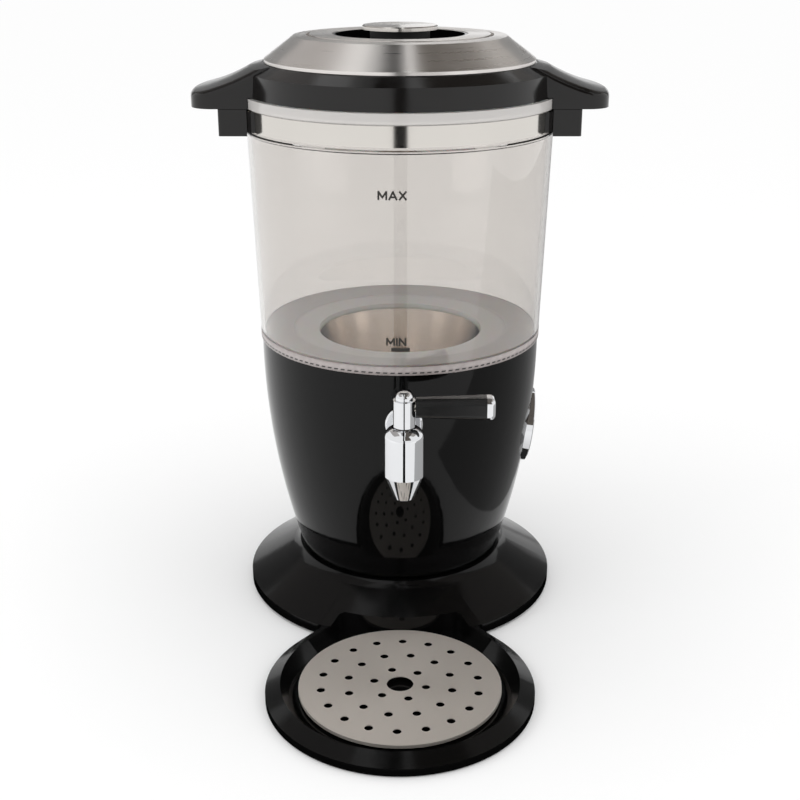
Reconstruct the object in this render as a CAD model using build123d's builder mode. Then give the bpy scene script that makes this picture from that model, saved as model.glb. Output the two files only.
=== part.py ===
"""Electric samovar with a clear vessel, a quarter-turn tap and a lift-off drip tray.

Millimetres. The origin is on the vertical axis of the vessel at the table plane, +Z is up,
the tap and the drip tray are at the front (-Y), and the thermostat dial is at the right (+X).
"""

from build123d import *
import math
import os

os.makedirs("parts", exist_ok=True)

# Fits
face_gap = 0.3  # between pieces that move apart, and where curved faces pass each other
seat_gap = 0.05  # between round faces of pieces that are assembled and stay put
running_gap = 0.05  # radial, between a turning spindle and its bore

# Screws
screw_radius = 1.5
screw_hole = 1.8  # clearance hole
screw_core = 1.6  # hole in a post, which the screw grips
screw_head_radius = 3.0
screw_head_height = 1.3
screw_post_radius = 4.5

# Base disc
rim_radius = 130.3
rim_bottom = 1.5  # the rubber feet lift the base this far off the table
rim_height = 9.0
rim_edge = 1.0
base_wall = 3.0
cone_rise = 21.1
shoulder_width = 5.5
shoulder_rise = 4.7
base_margin = 2.9  # how far the top of the base stands out from the foot of the body
base_hole_radius = 60.0  # wiring opening in the top of the base
cover_thickness = 2.0
cover_vents = ((-18, 12), (-18, 24), (18, 12), (18, 24))
cover_vent_length = 26.0
cover_vent_width = 4.0
foot_radius = 8.0
foot_peg_radius = 3.0
foot_peg_length = 4.5
foot_inset = 20.3  # from the rim of the base to the middle of a foot
foot_angles = (50, 130, 215, 325)
base_screw_inset = 30.3
base_screw_angles = (30, 90, 150, 228, 312)
base_screw_length = 10.0
tie_margin = 10.0  # from the edge of the wiring opening to the tie screws
tie_angles = (90, 210, 330)
tie_post_height = 12.0

# Drip tray
tray_radius = 100.6
tray_overlap = 38.6  # how far the circle of the dish reaches in past the rim of the base
tray_lift = 1.0  # the pads lift the tray this far off the table
tray_edge_height = 6.9
tray_rim_height = 13.2
tray_rim_width = 11.3
tray_side_width = 10.8  # of the sloping wall between the rim and the floor of the dish
tray_floor = 3.4
tray_wall = 3.0
tongue_depth = 30.3  # from the rim of the base to the concave back edge of the tongue
tongue_side_angle = 38.0  # how far the sides of the neck lean from the front-to-back line
tongue_corner = 9.0
tongue_proud = 0.6  # how far the tongue stands above the cone of the base
well_set_back = 16.0  # from the back edge of the tongue to the channel that drains the neck
well_side_angle = 36.0
well_corner = 6.0
notch_gap = 0.5
pad_radius = 6.0
pad_inset = 8.5
pad_depth = 1.0

# Drip plate
plate_gap = 2.6  # to the foot of the sloping wall of the dish
plate_rise = 4.5  # of the top of the plate above the floor of the dish
plate_thickness = 0.8
plate_lip = 2.6
plate_hole_radius = 3.2
plate_margin = 16.6  # from the outer ring of holes to the edge of the plate
plate_ring_turns = (-42.1, -12.1, -2.0)  # one ring of holes for each, from the middle out
plate_ring_step = 6  # each ring has this many holes more than the one inside it
plate_centre_hole = 10.0
rib_inset = 7.9
rib_width = 2.0

# Body shell
body_foot_radius = 84.6
body_top_radius = 113.3
body_height = 187.4
body_side_radius = 605.8  # of the arc that bulges the side
body_wall = 2.6
wall_shares = (0, 0.3, 0.65, 1)  # of the height, where the inner wall bends
body_foot_round = 4.5
ledge_drop = 2.2  # the ledge for the bowl lies this far below the rim of the body
ledge_thickness = 3.0
ledge_width = 15.3

# Vessel
vessel_overhang = 0.7  # beyond the rim of the body
vessel_flare = 5.3  # from the foot of the vessel to its neck
taper_height = 165.2
neck_height = 28.5
vessel_wall = 3.0
bead_height = 3.0
bead_out = 1.2
flange_thickness = 7.5
flange_out = 2.3
foot_flange_thickness = 3.0
foot_flange_width = 18.0
gasket_thickness = 1.5

# Floor ring and bowl
floor_ring_inset = 3.6
floor_ring_thickness = 4.65
floor_fall = 4.7  # from the edge of the ring down to its mouth
floor_step_inset = 22.4
floor_step = 0.5
mouth_margin = 0.9  # the mouth of the ring is this much wider than the bowl
bowl_radius = 66.0
bowl_taper = 8.0
bowl_depth = 56.8
bowl_corner = 12.0
bowl_sheet = 1.0
bowl_flange_inset = 7.3
bowl_gasket_width = 5.0
flange_screw_inset = 11.8
flange_screw_angles = (0, 60, 120, 180, 240, 300)
flange_screw_bite = 2.4  # depth of the screw holes in the floor ring

# Heater
heater_inset = 12.0
heater_thickness = 5.0
element_inset = 12.0
element_width = 9.0
element_drop = 6.0
element_opening = 50.0  # degrees left open between the two ends of the element
pin_radius = 2.0
pin_length = 12.0
cutout_radius = 8.5
cutout_height = 8.0
tab_length = 9.0
tab_width = 4.2
tab_thickness = 0.8

# Terminal block
block_size = (24.0, 14.0, 14.0)
block_place = (40.0, 56.0)
block_pitch = 7.0
block_hole = 2.2
block_hole_depth = 7.0

# Steel band and handles
band_drop = 1.1  # from the flange of the vessel down to the band
band_height = 15.0
band_sheet = 0.8
saddle_thickness = 2.6
saddle_angle = 26.0  # half of the arc that each saddle covers
handle_half_depth = 45.0
lug_reach = 17.0  # beyond the neck of the vessel
lug_height = 19.7
lug_corner = 2.5
lug_screw_reach = 10.7
lug_screw_inset = 15.0
lug_screw_sink = 6.0
lug_screw_bite = 9.0

# Wing grips of the collar
wing_reach = 41.2  # beyond the neck of the vessel
wing_drop = 7.5  # of their lower edge below the rim of the vessel
wing_root_out = 1.0
wing_brow_out = 10.7  # the top runs out to here before it dips towards the tip
wing_brow_drop = 2.6
wing_tip_height = 10.9
wing_dip = 1.8
wing_corner = 18.0
wing_edge_round = 4.0
wing_wall = 3.0
wing_rib = 2.0

# Collar
collar_foot_inset = 0.8
collar_crease_inset = 2.0
collar_side_height = 16.7
collar_bevel_width = 12.3
collar_bevel_height = 6.5
collar_lip_width = 4.0
collar_wall = 3.0
collar_skirt_depth = 17.2
collar_skirt_wall = 2.2
collar_groove_wall = 0.7
spigot_depth = 6.0  # how far the collar reaches down into the neck of the vessel

# Lid
lid_inset = 0.7
lid_lip_height = 2.3
lid_cone_width = 22.3
lid_cone_rise = 16.6
lid_crown_rise = 1.2
lid_groove_inset = 10.2
lid_groove_width = 2.4
lid_groove_depth = 3.0
lid_sheet = 1.0
lid_hem = 2.0
lid_skirt_gap = 2.0
lid_skirt_depth = 11.5
lid_deck_rise = 5.5
lid_wall = 2.4
lid_gasket_drop = 5.5
well_radius = 52.2
well_wall = 2.4
well_drop = 0.4  # the rim of the well lies this far below the top of the lid
well_hole_radius = 14.0
vent_azimuth = 79.5  # steam slots, towards +X from the front
vent_inset = 10.3
vent_pitch = 4.0  # degrees
vent_length = 6.0
vent_width = 1.8
lid_screw_circle = 35.0
lid_screw_angles = (90, 210, 330)

# Steam cap
cap_gap = 23.2  # room for a fingertip between the cap and the wall of the well
cap_lift = 3.1
cap_thickness = 3.2
cap_edge = 0.8
cap_peg_radius = 3.0
cap_peg_length = 6.0
plug_skirt_inset = 6.0
plug_stem_radius = 9.0
plug_stem_depth = 9.5
cap_seal_width = 7.0

# Tap: the column stands in front of the body, and the barrel joins it to the bowl
tap_x = 3.0
tap_reach = 37.8  # from the wall of the body to the axis of the column
barrel_drop = 38.0  # below the rim of the body
barrel_radius = 9.0
shank_radius = 7.5
tap_bore = 4.5
rosette_radius = 14.2
rosette_thickness = 3.4
rosette_edge = 1.2
tap_seal_thickness = 1.2
tap_seal_gap = 0.1
column_radius = 14.6
column_drop = 26.0  # below the axis of the barrel
column_height = 30.5
shoulder_radius = 9.0
shoulder_height = 7.5
shoulder_swell = 1.0
bonnet_radius = 7.5
bonnet_depth = 5.5
spout_length = 18.2
spout_radius = 7.2
spout_bore = 5.0
insert_wall = 0.8
insert_height = 9.0
valve_radius = 5.5
valve_seat = 5.0
valve_port = 3.6
socket_radius = 11.0
socket_gap = 3.0
nut_width = 22.0
nut_thickness = 5.0

# Tap lever, with its reach measured from the axis of the column
hub_radius = 8.1
hub_height = 20.7
hub_edge = 0.6
hub_web = 1.2
hub_cap_radius = 6.5
hub_cap_height = 6.0
hub_cap_round = 4.5
cap_pin_radius = 2.5
cap_pin_length = 3.0
spindle_radius = 4.0
spindle_reach = 15.7  # up into the hub
lever_rise = 14.9
grip_length = 51.2
grip_root = (6.2, 7.2)  # half width and half height
grip_tip = (7.8, 8.4)
grip_round = 4.5
lever_cap_length = 6.2
lever_cap_round = 4.0
stub_radius = 3.6
stub_cover = 7.8  # the stub ends this far inside the grip

# Thermostat dial, by distances along its axis from the wall of the body
dial_azimuth = 90.0  # from the front towards +X
dial_rise = 103.9  # above the foot of the body
bezel_radius = 31.7
bezel_proud = 1.8
bezel_edge = 0.8
bezel_lip = 6.0
dial_radius = 24.6
dial_proud = 2.6
dial_edge = 0.8
dial_skirt = 0.9  # how far the back of the dial reaches down round the nut
cup_depth = 12.0
cup_room = 1.6
dial_bar = 11.0
scoop_inset = 4.0
scoop_depth = 7.0
scoop_taper = 12.0
pointer_width = 1.6
pointer_length = 7.0
pointer_depth = 0.8
shaft_radius = 3.0
shaft_tip = 1.5
bush_radius = 5.0
bush_length = 6.0
dial_nut_width = 15.0
dial_nut_thickness = 2.5
thermostat_radius = 17.0
thermostat_depth = 14.0

# Cord inlet at the back
gland_rise = 23.4  # above the foot of the body
gland_flange_radius = 9.5
gland_flange_thickness = 3.0
gland_edge = 1.0
gland_hole_radius = 6.5
gland_bore = 3.6
gland_length = 14.0
gland_nut_width = 18.0
gland_nut_thickness = 4.0

# Heights and radii that follow from the sizes above, from the table up
rim_top = rim_bottom + rim_height
cone_top_height = rim_top + cone_rise
base_top = cone_top_height + shoulder_rise
base_neck_radius = body_foot_radius + base_margin
cone_top_radius = base_neck_radius + shoulder_width
cone_slope = cone_rise / (rim_radius - cone_top_radius)
foot_circle = rim_radius - foot_inset
base_screw_circle = rim_radius - base_screw_inset
tie_circle = base_hole_radius + tie_margin

tray_distance = rim_radius + tray_radius - tray_overlap
rim_inner_radius = tray_radius - tray_rim_width
tray_floor_radius = rim_inner_radius - tray_side_width
tongue_radius = rim_radius - tongue_depth
tongue_well_radius = tongue_radius + well_set_back
pad_circle = tray_floor_radius - pad_inset
plate_radius = tray_floor_radius - plate_gap
plate_top = tray_floor + plate_rise
plate_ring_pitch = (plate_radius - plate_margin) / len(plate_ring_turns)
rib_radius = plate_radius - rib_inset

body_bottom = base_top + face_gap
body_top = body_bottom + body_height
ledge_top = body_top - ledge_drop
ledge_bottom = ledge_top - ledge_thickness
ledge_radius = body_top_radius - ledge_width
dial_height = body_bottom + dial_rise
gland_height = body_bottom + gland_rise
barrel_height = body_top - barrel_drop

bowl_flange_top = ledge_top + bowl_sheet
bowl_flange_radius = body_top_radius - bowl_flange_inset
bowl_floor = bowl_flange_top - bowl_depth
bowl_floor_radius = bowl_radius - bowl_taper
flange_screw_circle = body_top_radius - flange_screw_inset
heater_top = bowl_floor - bowl_sheet
heater_bottom = heater_top - heater_thickness
heater_radius = bowl_floor_radius - heater_inset
element_circle = heater_radius - element_inset

vessel_bottom = bowl_flange_top + gasket_thickness
vessel_foot_radius = body_top_radius + vessel_overhang
vessel_neck_radius = vessel_foot_radius + vessel_flare
vessel_taper_top = vessel_bottom + taper_height
vessel_top = vessel_taper_top + neck_height
neck_inner = vessel_neck_radius - vessel_wall
flange_bottom = vessel_top - flange_thickness
flange_radius = vessel_neck_radius + flange_out
foot_flange_top = vessel_bottom + foot_flange_thickness
foot_flange_radius = vessel_foot_radius - foot_flange_width
floor_ring_seat = foot_flange_top + seat_gap
floor_ring_radius = vessel_foot_radius - floor_ring_inset
floor_edge_height = floor_ring_seat + floor_ring_thickness
floor_mouth_height = floor_edge_height - floor_fall
floor_mouth_radius = bowl_radius + mouth_margin
floor_step_radius = floor_ring_radius - floor_step_inset

band_top = flange_bottom - band_drop
band_bottom = band_top - band_height
band_inner = vessel_neck_radius + seat_gap
band_outer = band_inner + band_sheet
saddle_inner = band_outer + seat_gap
saddle_outer = saddle_inner + saddle_thickness
wing_bottom = vessel_top - wing_drop
wing_tip_radius = vessel_neck_radius + wing_reach
lug_outer = vessel_neck_radius + lug_reach
lug_top = wing_bottom - face_gap
lug_bottom = lug_top - lug_height
lug_screw_out = vessel_neck_radius + lug_screw_reach
lug_screw_side = handle_half_depth - lug_screw_inset

collar_foot_radius = vessel_neck_radius - collar_foot_inset
collar_crease_radius = vessel_neck_radius - collar_crease_inset
collar_crease_height = vessel_top + collar_side_height
collar_top_radius = collar_crease_radius - collar_bevel_width
collar_top = collar_crease_height + collar_bevel_height
collar_mouth_radius = collar_top_radius - collar_lip_width
collar_skirt_bottom = collar_top - collar_skirt_depth

lid_bottom = collar_top + face_gap
lid_lip_radius = collar_top_radius - lid_inset
lid_lip_top = lid_bottom + lid_lip_height
lid_cone_radius = lid_lip_radius - lid_cone_width
lid_cone_top = lid_lip_top + lid_cone_rise
lid_top = lid_cone_top + lid_crown_rise
lid_groove_outer = lid_cone_radius - lid_groove_inset
lid_groove_inner = lid_groove_outer - lid_groove_width
lid_skirt_radius = collar_mouth_radius - lid_skirt_gap
lid_skirt_bottom = lid_bottom - lid_skirt_depth
lid_deck = lid_bottom + lid_deck_rise
lid_deck_bottom = lid_deck - lid_wall
lid_gasket_bottom = lid_bottom - lid_gasket_drop
vent_radius = lid_lip_radius - vent_inset
well_floor = lid_deck + seat_gap + well_wall
cap_radius = well_radius - cap_gap
cap_bottom = lid_top + cap_lift
plug_skirt_radius = cap_radius - plug_skirt_inset
plug_bottom = well_floor - plug_stem_depth

column_bottom = barrel_height - column_drop
column_top = column_bottom + column_height
shoulder_top = column_top + shoulder_height
spout_tip = column_bottom - spout_length
valve_bottom = column_bottom + valve_seat
bonnet_bottom = shoulder_top - bonnet_depth
shank_end = bowl_radius
hub_bottom = shoulder_top + face_gap
hub_top = hub_bottom + hub_height
hub_cap_top = hub_top + hub_cap_height
spindle_top = hub_bottom + spindle_reach
lever_height = hub_bottom + lever_rise
stub_start = spindle_radius + hub_web
grip_start = hub_radius + face_gap
grip_end = grip_start + grip_length
stub_end = grip_end - stub_cover
lever_cap_end = grip_end + lever_cap_length

scoop_radius = dial_radius - scoop_inset
cup_radius = dial_radius + cup_room
cup_floor = -cup_depth
cup_back = cup_floor - body_wall
bush_top = cup_floor + bush_length - body_wall
nut_top = cup_floor + dial_nut_thickness
dial_back = nut_top - dial_skirt


def cone_line(radius):
    """Height of the conical top of the base at this radius."""
    return rim_top + (rim_radius - radius) * cone_slope


def body_radius_at(height):
    """Radius of the outer wall of the body, which is one arc from its foot to its rim."""
    flare = body_top_radius - body_foot_radius
    chord = math.hypot(flare, body_height)
    reach = math.sqrt(body_side_radius**2 - chord**2 / 4)  # from the chord to the arc's centre
    middle_radius = (body_foot_radius + body_top_radius) / 2 - reach * body_height / chord
    middle_height = (body_bottom + body_top) / 2 + reach * flare / chord
    return middle_radius + math.sqrt(body_side_radius**2 - (height - middle_height) ** 2)


wall_stations = [
    body_bottom + base_wall + share * (ledge_bottom - body_bottom - base_wall)
    for share in wall_shares
]


def inner_radius_at(height):
    """Radius of the inner wall of the body, which runs straight between its stations."""
    for low, high in zip(wall_stations, wall_stations[1:]):
        if height <= high:
            break
    share = (height - low) / (high - low)
    return body_radius_at(low) * (1 - share) + body_radius_at(high) * share - body_wall


def vessel_radius_at(height):
    """Outer radius of the tapered wall of the vessel."""
    share = (height - vessel_bottom) / taper_height
    return vessel_foot_radius + share * (vessel_neck_radius - vessel_foot_radius)


def lid_slope_inside(radius):
    """Height of the underside of the sloping part of the lid cover."""
    slope = lid_cone_rise / lid_cone_width
    return lid_lip_top + (lid_lip_radius - radius) * slope - lid_sheet * math.hypot(1, slope)


def places_on_circle(radius, angles):
    """Points on a circle about the vessel axis, by their angles from +X."""
    return [
        (radius * math.cos(math.radians(angle)), radius * math.sin(math.radians(angle)))
        for angle in angles
    ]


def neck_plan(lean_angle, reach, back, corner_round):
    """Plan of a neck with sides tangent to a circle about the dish and a concave back edge."""
    lean = math.radians(lean_angle)
    start = (reach * math.cos(lean), -tray_distance + reach * math.sin(lean))
    along = (-math.sin(lean), math.cos(lean))
    # the side runs back from the dish until it meets the circle of the back edge
    half = start[0] * along[0] + start[1] * along[1]
    run = -half - math.sqrt(half**2 - (start[0] ** 2 + start[1] ** 2 - back**2))
    corner = (start[0] + run * along[0], start[1] + run * along[1])
    with BuildSketch() as plan:
        with BuildLine():
            Polyline((0, -tray_distance), start, corner)
            ThreePointArc(corner, (0, -back), (-corner[0], corner[1]))
            Polyline((-corner[0], corner[1]), (-start[0], start[1]), (0, -tray_distance))
        make_face()
        fillet(plan.vertices().group_by(Axis.Y)[-1], corner_round)
    return plan.sketch


def tongue_plan(grow):
    """Plan of the tongue of the drip tray, grown all round by a gap."""
    return neck_plan(
        tongue_side_angle, tray_radius + grow, tongue_radius - grow, tongue_corner + grow
    )


def screw_set(places, seat, length):
    """Screws that point up, with their hexagon heads under a face at the seat height."""
    with BuildPart() as screws:
        with BuildSketch(Plane.XY.offset(seat)):
            with Locations(*places):
                RegularPolygon(screw_head_radius, 6)
        extrude(amount=-screw_head_height)
        with BuildSketch(Plane.XY.offset(seat)):
            with Locations(*places):
                Circle(screw_radius)
        extrude(amount=length)
    return screws.part


# Planes for what sits on the wall of the body, each with its z axis out of the wall

dial_wall_radius = body_radius_at(dial_height)
dial_slope = math.atan2(body_radius_at(dial_height + 1) - body_radius_at(dial_height - 1), 2)
dial_turn = math.radians(dial_azimuth)
dial_plane = Plane(
    origin=(
        dial_wall_radius * math.sin(dial_turn),
        -dial_wall_radius * math.cos(dial_turn),
        dial_height,
    ),
    x_dir=(math.cos(dial_turn), math.sin(dial_turn), 0),
    z_dir=(
        math.sin(dial_turn) * math.cos(dial_slope),
        -math.cos(dial_turn) * math.cos(dial_slope),
        -math.sin(dial_slope),
    ),
)
tap_plane = Plane(origin=(tap_x, 0, barrel_height), x_dir=(1, 0, 0), z_dir=(0, -1, 0))
gland_plane = Plane(origin=(0, 0, gland_height), x_dir=(-1, 0, 0), z_dir=(0, 1, 0))
tap_wall = math.sqrt(body_radius_at(barrel_height) ** 2 - tap_x**2)
tap_y = -tap_wall - tap_reach
tap_axis = Axis((tap_x, tap_y, 0), (0, 0, 1))
nut_reach = nut_width / 2 + tap_x
nut_seat = math.sqrt(
    inner_radius_at(barrel_height - nut_width / math.sqrt(3)) ** 2 - nut_reach**2
) - face_gap / 2
socket_mouth = nut_seat - nut_thickness - socket_gap
tap_section = Plane.XZ.offset(-tap_y)
lever_plane = Plane(origin=(tap_x, tap_y, lever_height), x_dir=(0, 1, 0), z_dir=(1, 0, 0))
tray_axis = Axis((0, -tray_distance, 0), (0, 0, 1))
tray_section = Plane.XZ.offset(tray_distance)


# The body as a solid form, to cut what seats on its curved wall

with BuildPart() as body_form:
    with BuildSketch(Plane.XZ):
        with BuildLine():
            Line((0, body_bottom), (body_foot_radius, body_bottom))
            middle_height = (body_bottom + body_top) / 2
            ThreePointArc(
                (body_foot_radius, body_bottom),
                (body_radius_at(middle_height), middle_height),
                (body_top_radius, body_top),
            )
            Polyline((body_top_radius, body_top), (0, body_top), (0, body_bottom))
        make_face()
    revolve(axis=Axis.Z)


# Base

with BuildPart() as notch:
    with BuildSketch(Plane.XY):
        add(tongue_plan(notch_gap))
    extrude(amount=base_top)

with BuildPart() as notch_lining:
    with BuildSketch(Plane.XY):
        add(tongue_plan(notch_gap + base_wall))
    extrude(amount=base_top)

with BuildPart() as base_hollow:
    with BuildSketch(Plane.XZ):
        with BuildLine():
            Polyline(
                (0, rim_bottom),
                (rim_radius - base_wall, rim_bottom),
                (rim_radius - base_wall, rim_top - base_wall / 2),
                (cone_top_radius - base_wall / 2, cone_top_height - base_wall),
                (base_neck_radius - base_wall / 2, base_top - base_wall),
                (0, base_top - base_wall),
                (0, rim_bottom),
            )
        make_face()
    revolve(axis=Axis.Z)
    add(notch_lining.part, mode=Mode.SUBTRACT)

base_screw_places = places_on_circle(base_screw_circle, base_screw_angles)
tie_places = places_on_circle(tie_circle, tie_angles)
with BuildPart() as base_disc:
    with BuildSketch(Plane.XZ):
        with BuildLine():
            Polyline(
                (0, rim_bottom),
                (rim_radius - rim_edge, rim_bottom),
                (rim_radius, rim_bottom + rim_edge),
                (rim_radius, rim_top),
                (cone_top_radius, cone_top_height),
            )
            TangentArc(
                (cone_top_radius, cone_top_height),
                (base_neck_radius, base_top),
                tangent=(-1, cone_slope),
            )
            Polyline((base_neck_radius, base_top), (0, base_top), (0, rim_bottom))
        make_face()
    revolve(axis=Axis.Z)
    add(base_hollow.part, mode=Mode.SUBTRACT)
    add(notch.part, mode=Mode.SUBTRACT)
    with Locations((0, 0, base_top)):
        Hole(base_hole_radius)
    # screw posts that reach down to the cover
    with BuildSketch(Plane.XY.offset(rim_bottom + cover_thickness)):
        with Locations(*base_screw_places):
            Circle(screw_post_radius)
            Circle(screw_core, mode=Mode.SUBTRACT)
    extrude(
        amount=cone_line(base_screw_circle + screw_post_radius)
        - rim_bottom
        - cover_thickness
        - base_wall / 2
    )
    # holes for the tie screws that hold the body
    with BuildSketch(Plane.XY.offset(base_top)):
        with Locations(*tie_places):
            Circle(screw_hole)
    extrude(amount=-base_wall, mode=Mode.SUBTRACT)
base_disc.part.label = "base_disc"
export_step(base_disc.part, "parts/base_disc.step")

foot_places = places_on_circle(foot_circle, foot_angles)
with BuildPart() as base_cover:
    with BuildSketch(Plane.XY.offset(rim_bottom)):
        Circle(rim_radius - base_wall - face_gap)
        add(tongue_plan(notch_gap + base_wall + face_gap), mode=Mode.SUBTRACT)
        with Locations(*foot_places):
            Circle(foot_peg_radius + seat_gap, mode=Mode.SUBTRACT)
        with Locations(*base_screw_places):
            Circle(screw_hole, mode=Mode.SUBTRACT)
        with Locations(*cover_vents):
            SlotOverall(cover_vent_length, cover_vent_width, mode=Mode.SUBTRACT)
    extrude(amount=cover_thickness)
base_cover.part.label = "base_cover"
export_step(base_cover.part, "parts/base_cover.step")

with BuildPart() as rubber_feet:
    with BuildSketch(Plane.XY):
        with Locations(*foot_places):
            Circle(foot_radius)
    extrude(amount=rim_bottom)
    with BuildSketch(Plane.XY.offset(rim_bottom)):
        with Locations(*foot_places):
            Circle(foot_peg_radius)
    extrude(amount=foot_peg_length)
rubber_feet.part.label = "rubber_feet"
export_step(rubber_feet.part, "parts/rubber_feet.step")

with BuildPart() as base_screws:
    add(screw_set(base_screw_places, rim_bottom, base_screw_length))
base_screws.part.label = "base_screws"
export_step(base_screws.part, "parts/base_screws.step")


# Drip tray

headroom = base_top + tray_rim_height  # clears the tray and the base in every cut
bevel_slope = (tray_rim_height - tray_edge_height) / tray_rim_width

# wedge that carries the bevel of the rim on along the sides of the neck, up to the base
neck_lean = math.radians(tongue_side_angle)
neck_side = Plane(
    origin=(
        tray_radius * math.cos(neck_lean),
        tray_radius * math.sin(neck_lean) - tray_distance,
        tray_edge_height,
    ),
    x_dir=(-math.cos(neck_lean), -math.sin(neck_lean), 0),
    z_dir=(-math.sin(neck_lean), math.cos(neck_lean), 0),
)
with BuildPart() as neck_bevel:
    with BuildSketch(neck_side):
        with BuildLine():
            past = tray_wall  # the wedge runs past both ends of the bevel
            Polyline(
                (-past, -past * bevel_slope),
                (tray_rim_width + past, (tray_rim_width + past) * bevel_slope),
                (-past, (tray_rim_width + past) * bevel_slope),
                (-past, -past * bevel_slope),
            )
        make_face()
    extrude(amount=tray_overlap + tongue_depth)
    mirror(about=Plane.YZ)
    with BuildSketch(Plane.XY):
        Circle(rim_radius)
    extrude(amount=headroom, mode=Mode.SUBTRACT)

with BuildPart() as tray_neck:
    with BuildSketch(Plane.XY.offset(tray_lift)):
        add(tongue_plan(0))
    extrude(amount=headroom)
    # the top follows the cone of the base, and outside the base it is level with the rim
    with BuildSketch(Plane.XZ):
        with BuildLine():
            Polyline(
                (0, 0),
                (tray_distance, 0),
                (tray_distance, tray_rim_height),
                (rim_radius, tray_rim_height),
                (rim_radius, rim_top + tongue_proud),
                (base_neck_radius, cone_line(base_neck_radius) + tongue_proud),
                (0, cone_line(base_neck_radius) + tongue_proud),
                (0, 0),
            )
        make_face()
    revolve(axis=Axis.Z, mode=Mode.INTERSECT)
    add(neck_bevel.part, mode=Mode.SUBTRACT)

# space under the tongue, behind the drain channel
with BuildPart() as tongue_hollow:
    with BuildSketch(Plane.XY):
        add(tongue_plan(-tray_wall))
    extrude(amount=headroom)
    with BuildSketch(Plane.XZ):
        with BuildLine():
            back, front = tongue_radius + tray_wall, tongue_well_radius - tray_wall
            Polyline(
                (back, 0),
                (front, 0),
                (front, cone_line(front) + tongue_proud - tray_wall),
                (back, cone_line(back) + tongue_proud - tray_wall),
                (back, 0),
            )
        make_face()
    revolve(axis=Axis.Z, mode=Mode.INTERSECT)

# the well with its sloping wall, and the channel that drains into it from the neck
with BuildPart() as tray_well:
    with BuildSketch(tray_section):
        with BuildLine():
            Polyline(
                (0, tray_floor),
                (tray_floor_radius, tray_floor),
                (rim_inner_radius, tray_rim_height),
                (rim_inner_radius, headroom),
                (0, headroom),
                (0, tray_floor),
            )
        make_face()
    revolve(axis=tray_axis)
    with BuildSketch(Plane.XY.offset(tray_floor)):
        add(neck_plan(well_side_angle, rim_inner_radius, tongue_well_radius, well_corner))
    extrude(amount=headroom)
    with BuildSketch(Plane.XY):
        Circle(tongue_well_radius)
    extrude(amount=2 * headroom, mode=Mode.SUBTRACT)

with BuildPart() as drip_tray:
    with BuildSketch(tray_section):
        with BuildLine():
            Polyline(
                (0, tray_lift),
                (tray_radius, tray_lift),
                (tray_radius, tray_edge_height),
                (rim_inner_radius, tray_rim_height),
                (0, tray_rim_height),
                (0, tray_lift),
            )
        make_face()
    revolve(axis=tray_axis)
    # the back of the dish ends at the concave edge of the tongue
    with BuildSketch(Plane.XY):
        Circle(tongue_radius)
    extrude(amount=headroom, mode=Mode.SUBTRACT)
    add(tray_neck.part)
    add(tongue_hollow.part, mode=Mode.SUBTRACT)
    add(tray_well.part, mode=Mode.SUBTRACT)
    # ring rib that carries the plate
    with BuildSketch(Plane.XY.offset(tray_floor)):
        with Locations((0, -tray_distance)):
            Circle(rib_radius)
            Circle(rib_radius - rib_width, mode=Mode.SUBTRACT)
    extrude(amount=plate_top - plate_thickness - face_gap - tray_floor)
    # pockets for the pads
    with BuildSketch(Plane.XY.offset(tray_lift)):
        with Locations((0, -tray_distance)):
            with PolarLocations(pad_circle, 3, start_angle=90):
                Circle(pad_radius + seat_gap)
    extrude(amount=pad_depth, mode=Mode.SUBTRACT)
drip_tray.part.label = "drip_tray"
export_step(drip_tray.part, "parts/drip_tray.step")

with BuildPart() as tray_pads:
    with BuildSketch(Plane.XY):
        with Locations((0, -tray_distance)):
            with PolarLocations(pad_circle, 3, start_angle=90):
                Circle(pad_radius)
    extrude(amount=tray_lift + pad_depth)
tray_pads.part.label = "tray_pads"
export_step(tray_pads.part, "parts/tray_pads.step")

with BuildPart() as drip_plate:
    with BuildSketch(Plane.XY.offset(plate_top - plate_thickness)):
        with Locations((0, -tray_distance)):
            Circle(plate_radius)
            Circle(plate_centre_hole, mode=Mode.SUBTRACT)
            for ring, turn in enumerate(plate_ring_turns, start=1):
                holes = ring * plate_ring_step
                with PolarLocations(ring * plate_ring_pitch, holes, start_angle=90 + turn):
                    Circle(plate_hole_radius, mode=Mode.SUBTRACT)
    extrude(amount=plate_thickness)
    with BuildSketch(Plane.XY.offset(plate_top - plate_lip)):
        with Locations((0, -tray_distance)):
            Circle(plate_radius)
            Circle(plate_radius - plate_thickness, mode=Mode.SUBTRACT)
    extrude(amount=plate_lip - plate_thickness)
drip_plate.part.label = "drip_plate"
export_step(drip_plate.part, "parts/drip_plate.step")


# Body shell

with BuildPart() as body_hollow:
    with BuildSketch(Plane.XZ):
        with BuildLine():
            wall_line = [(inner_radius_at(height), height) for height in wall_stations]
            Polyline(
                (0, wall_stations[0]),
                *wall_line,
                (ledge_radius, ledge_bottom),
                (ledge_radius, ledge_top),
                (body_top_radius - body_wall, ledge_top),
                (body_top_radius - body_wall, body_top),
                (0, body_top),
                (0, wall_stations[0]),
            )
        make_face()
    revolve(axis=Axis.Z)
    # the cup of the dial stands in the hollow
    with BuildSketch(dial_plane.offset(cup_back)):
        Circle(cup_radius + body_wall)
    extrude(amount=cup_depth + body_wall, mode=Mode.SUBTRACT)

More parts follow.
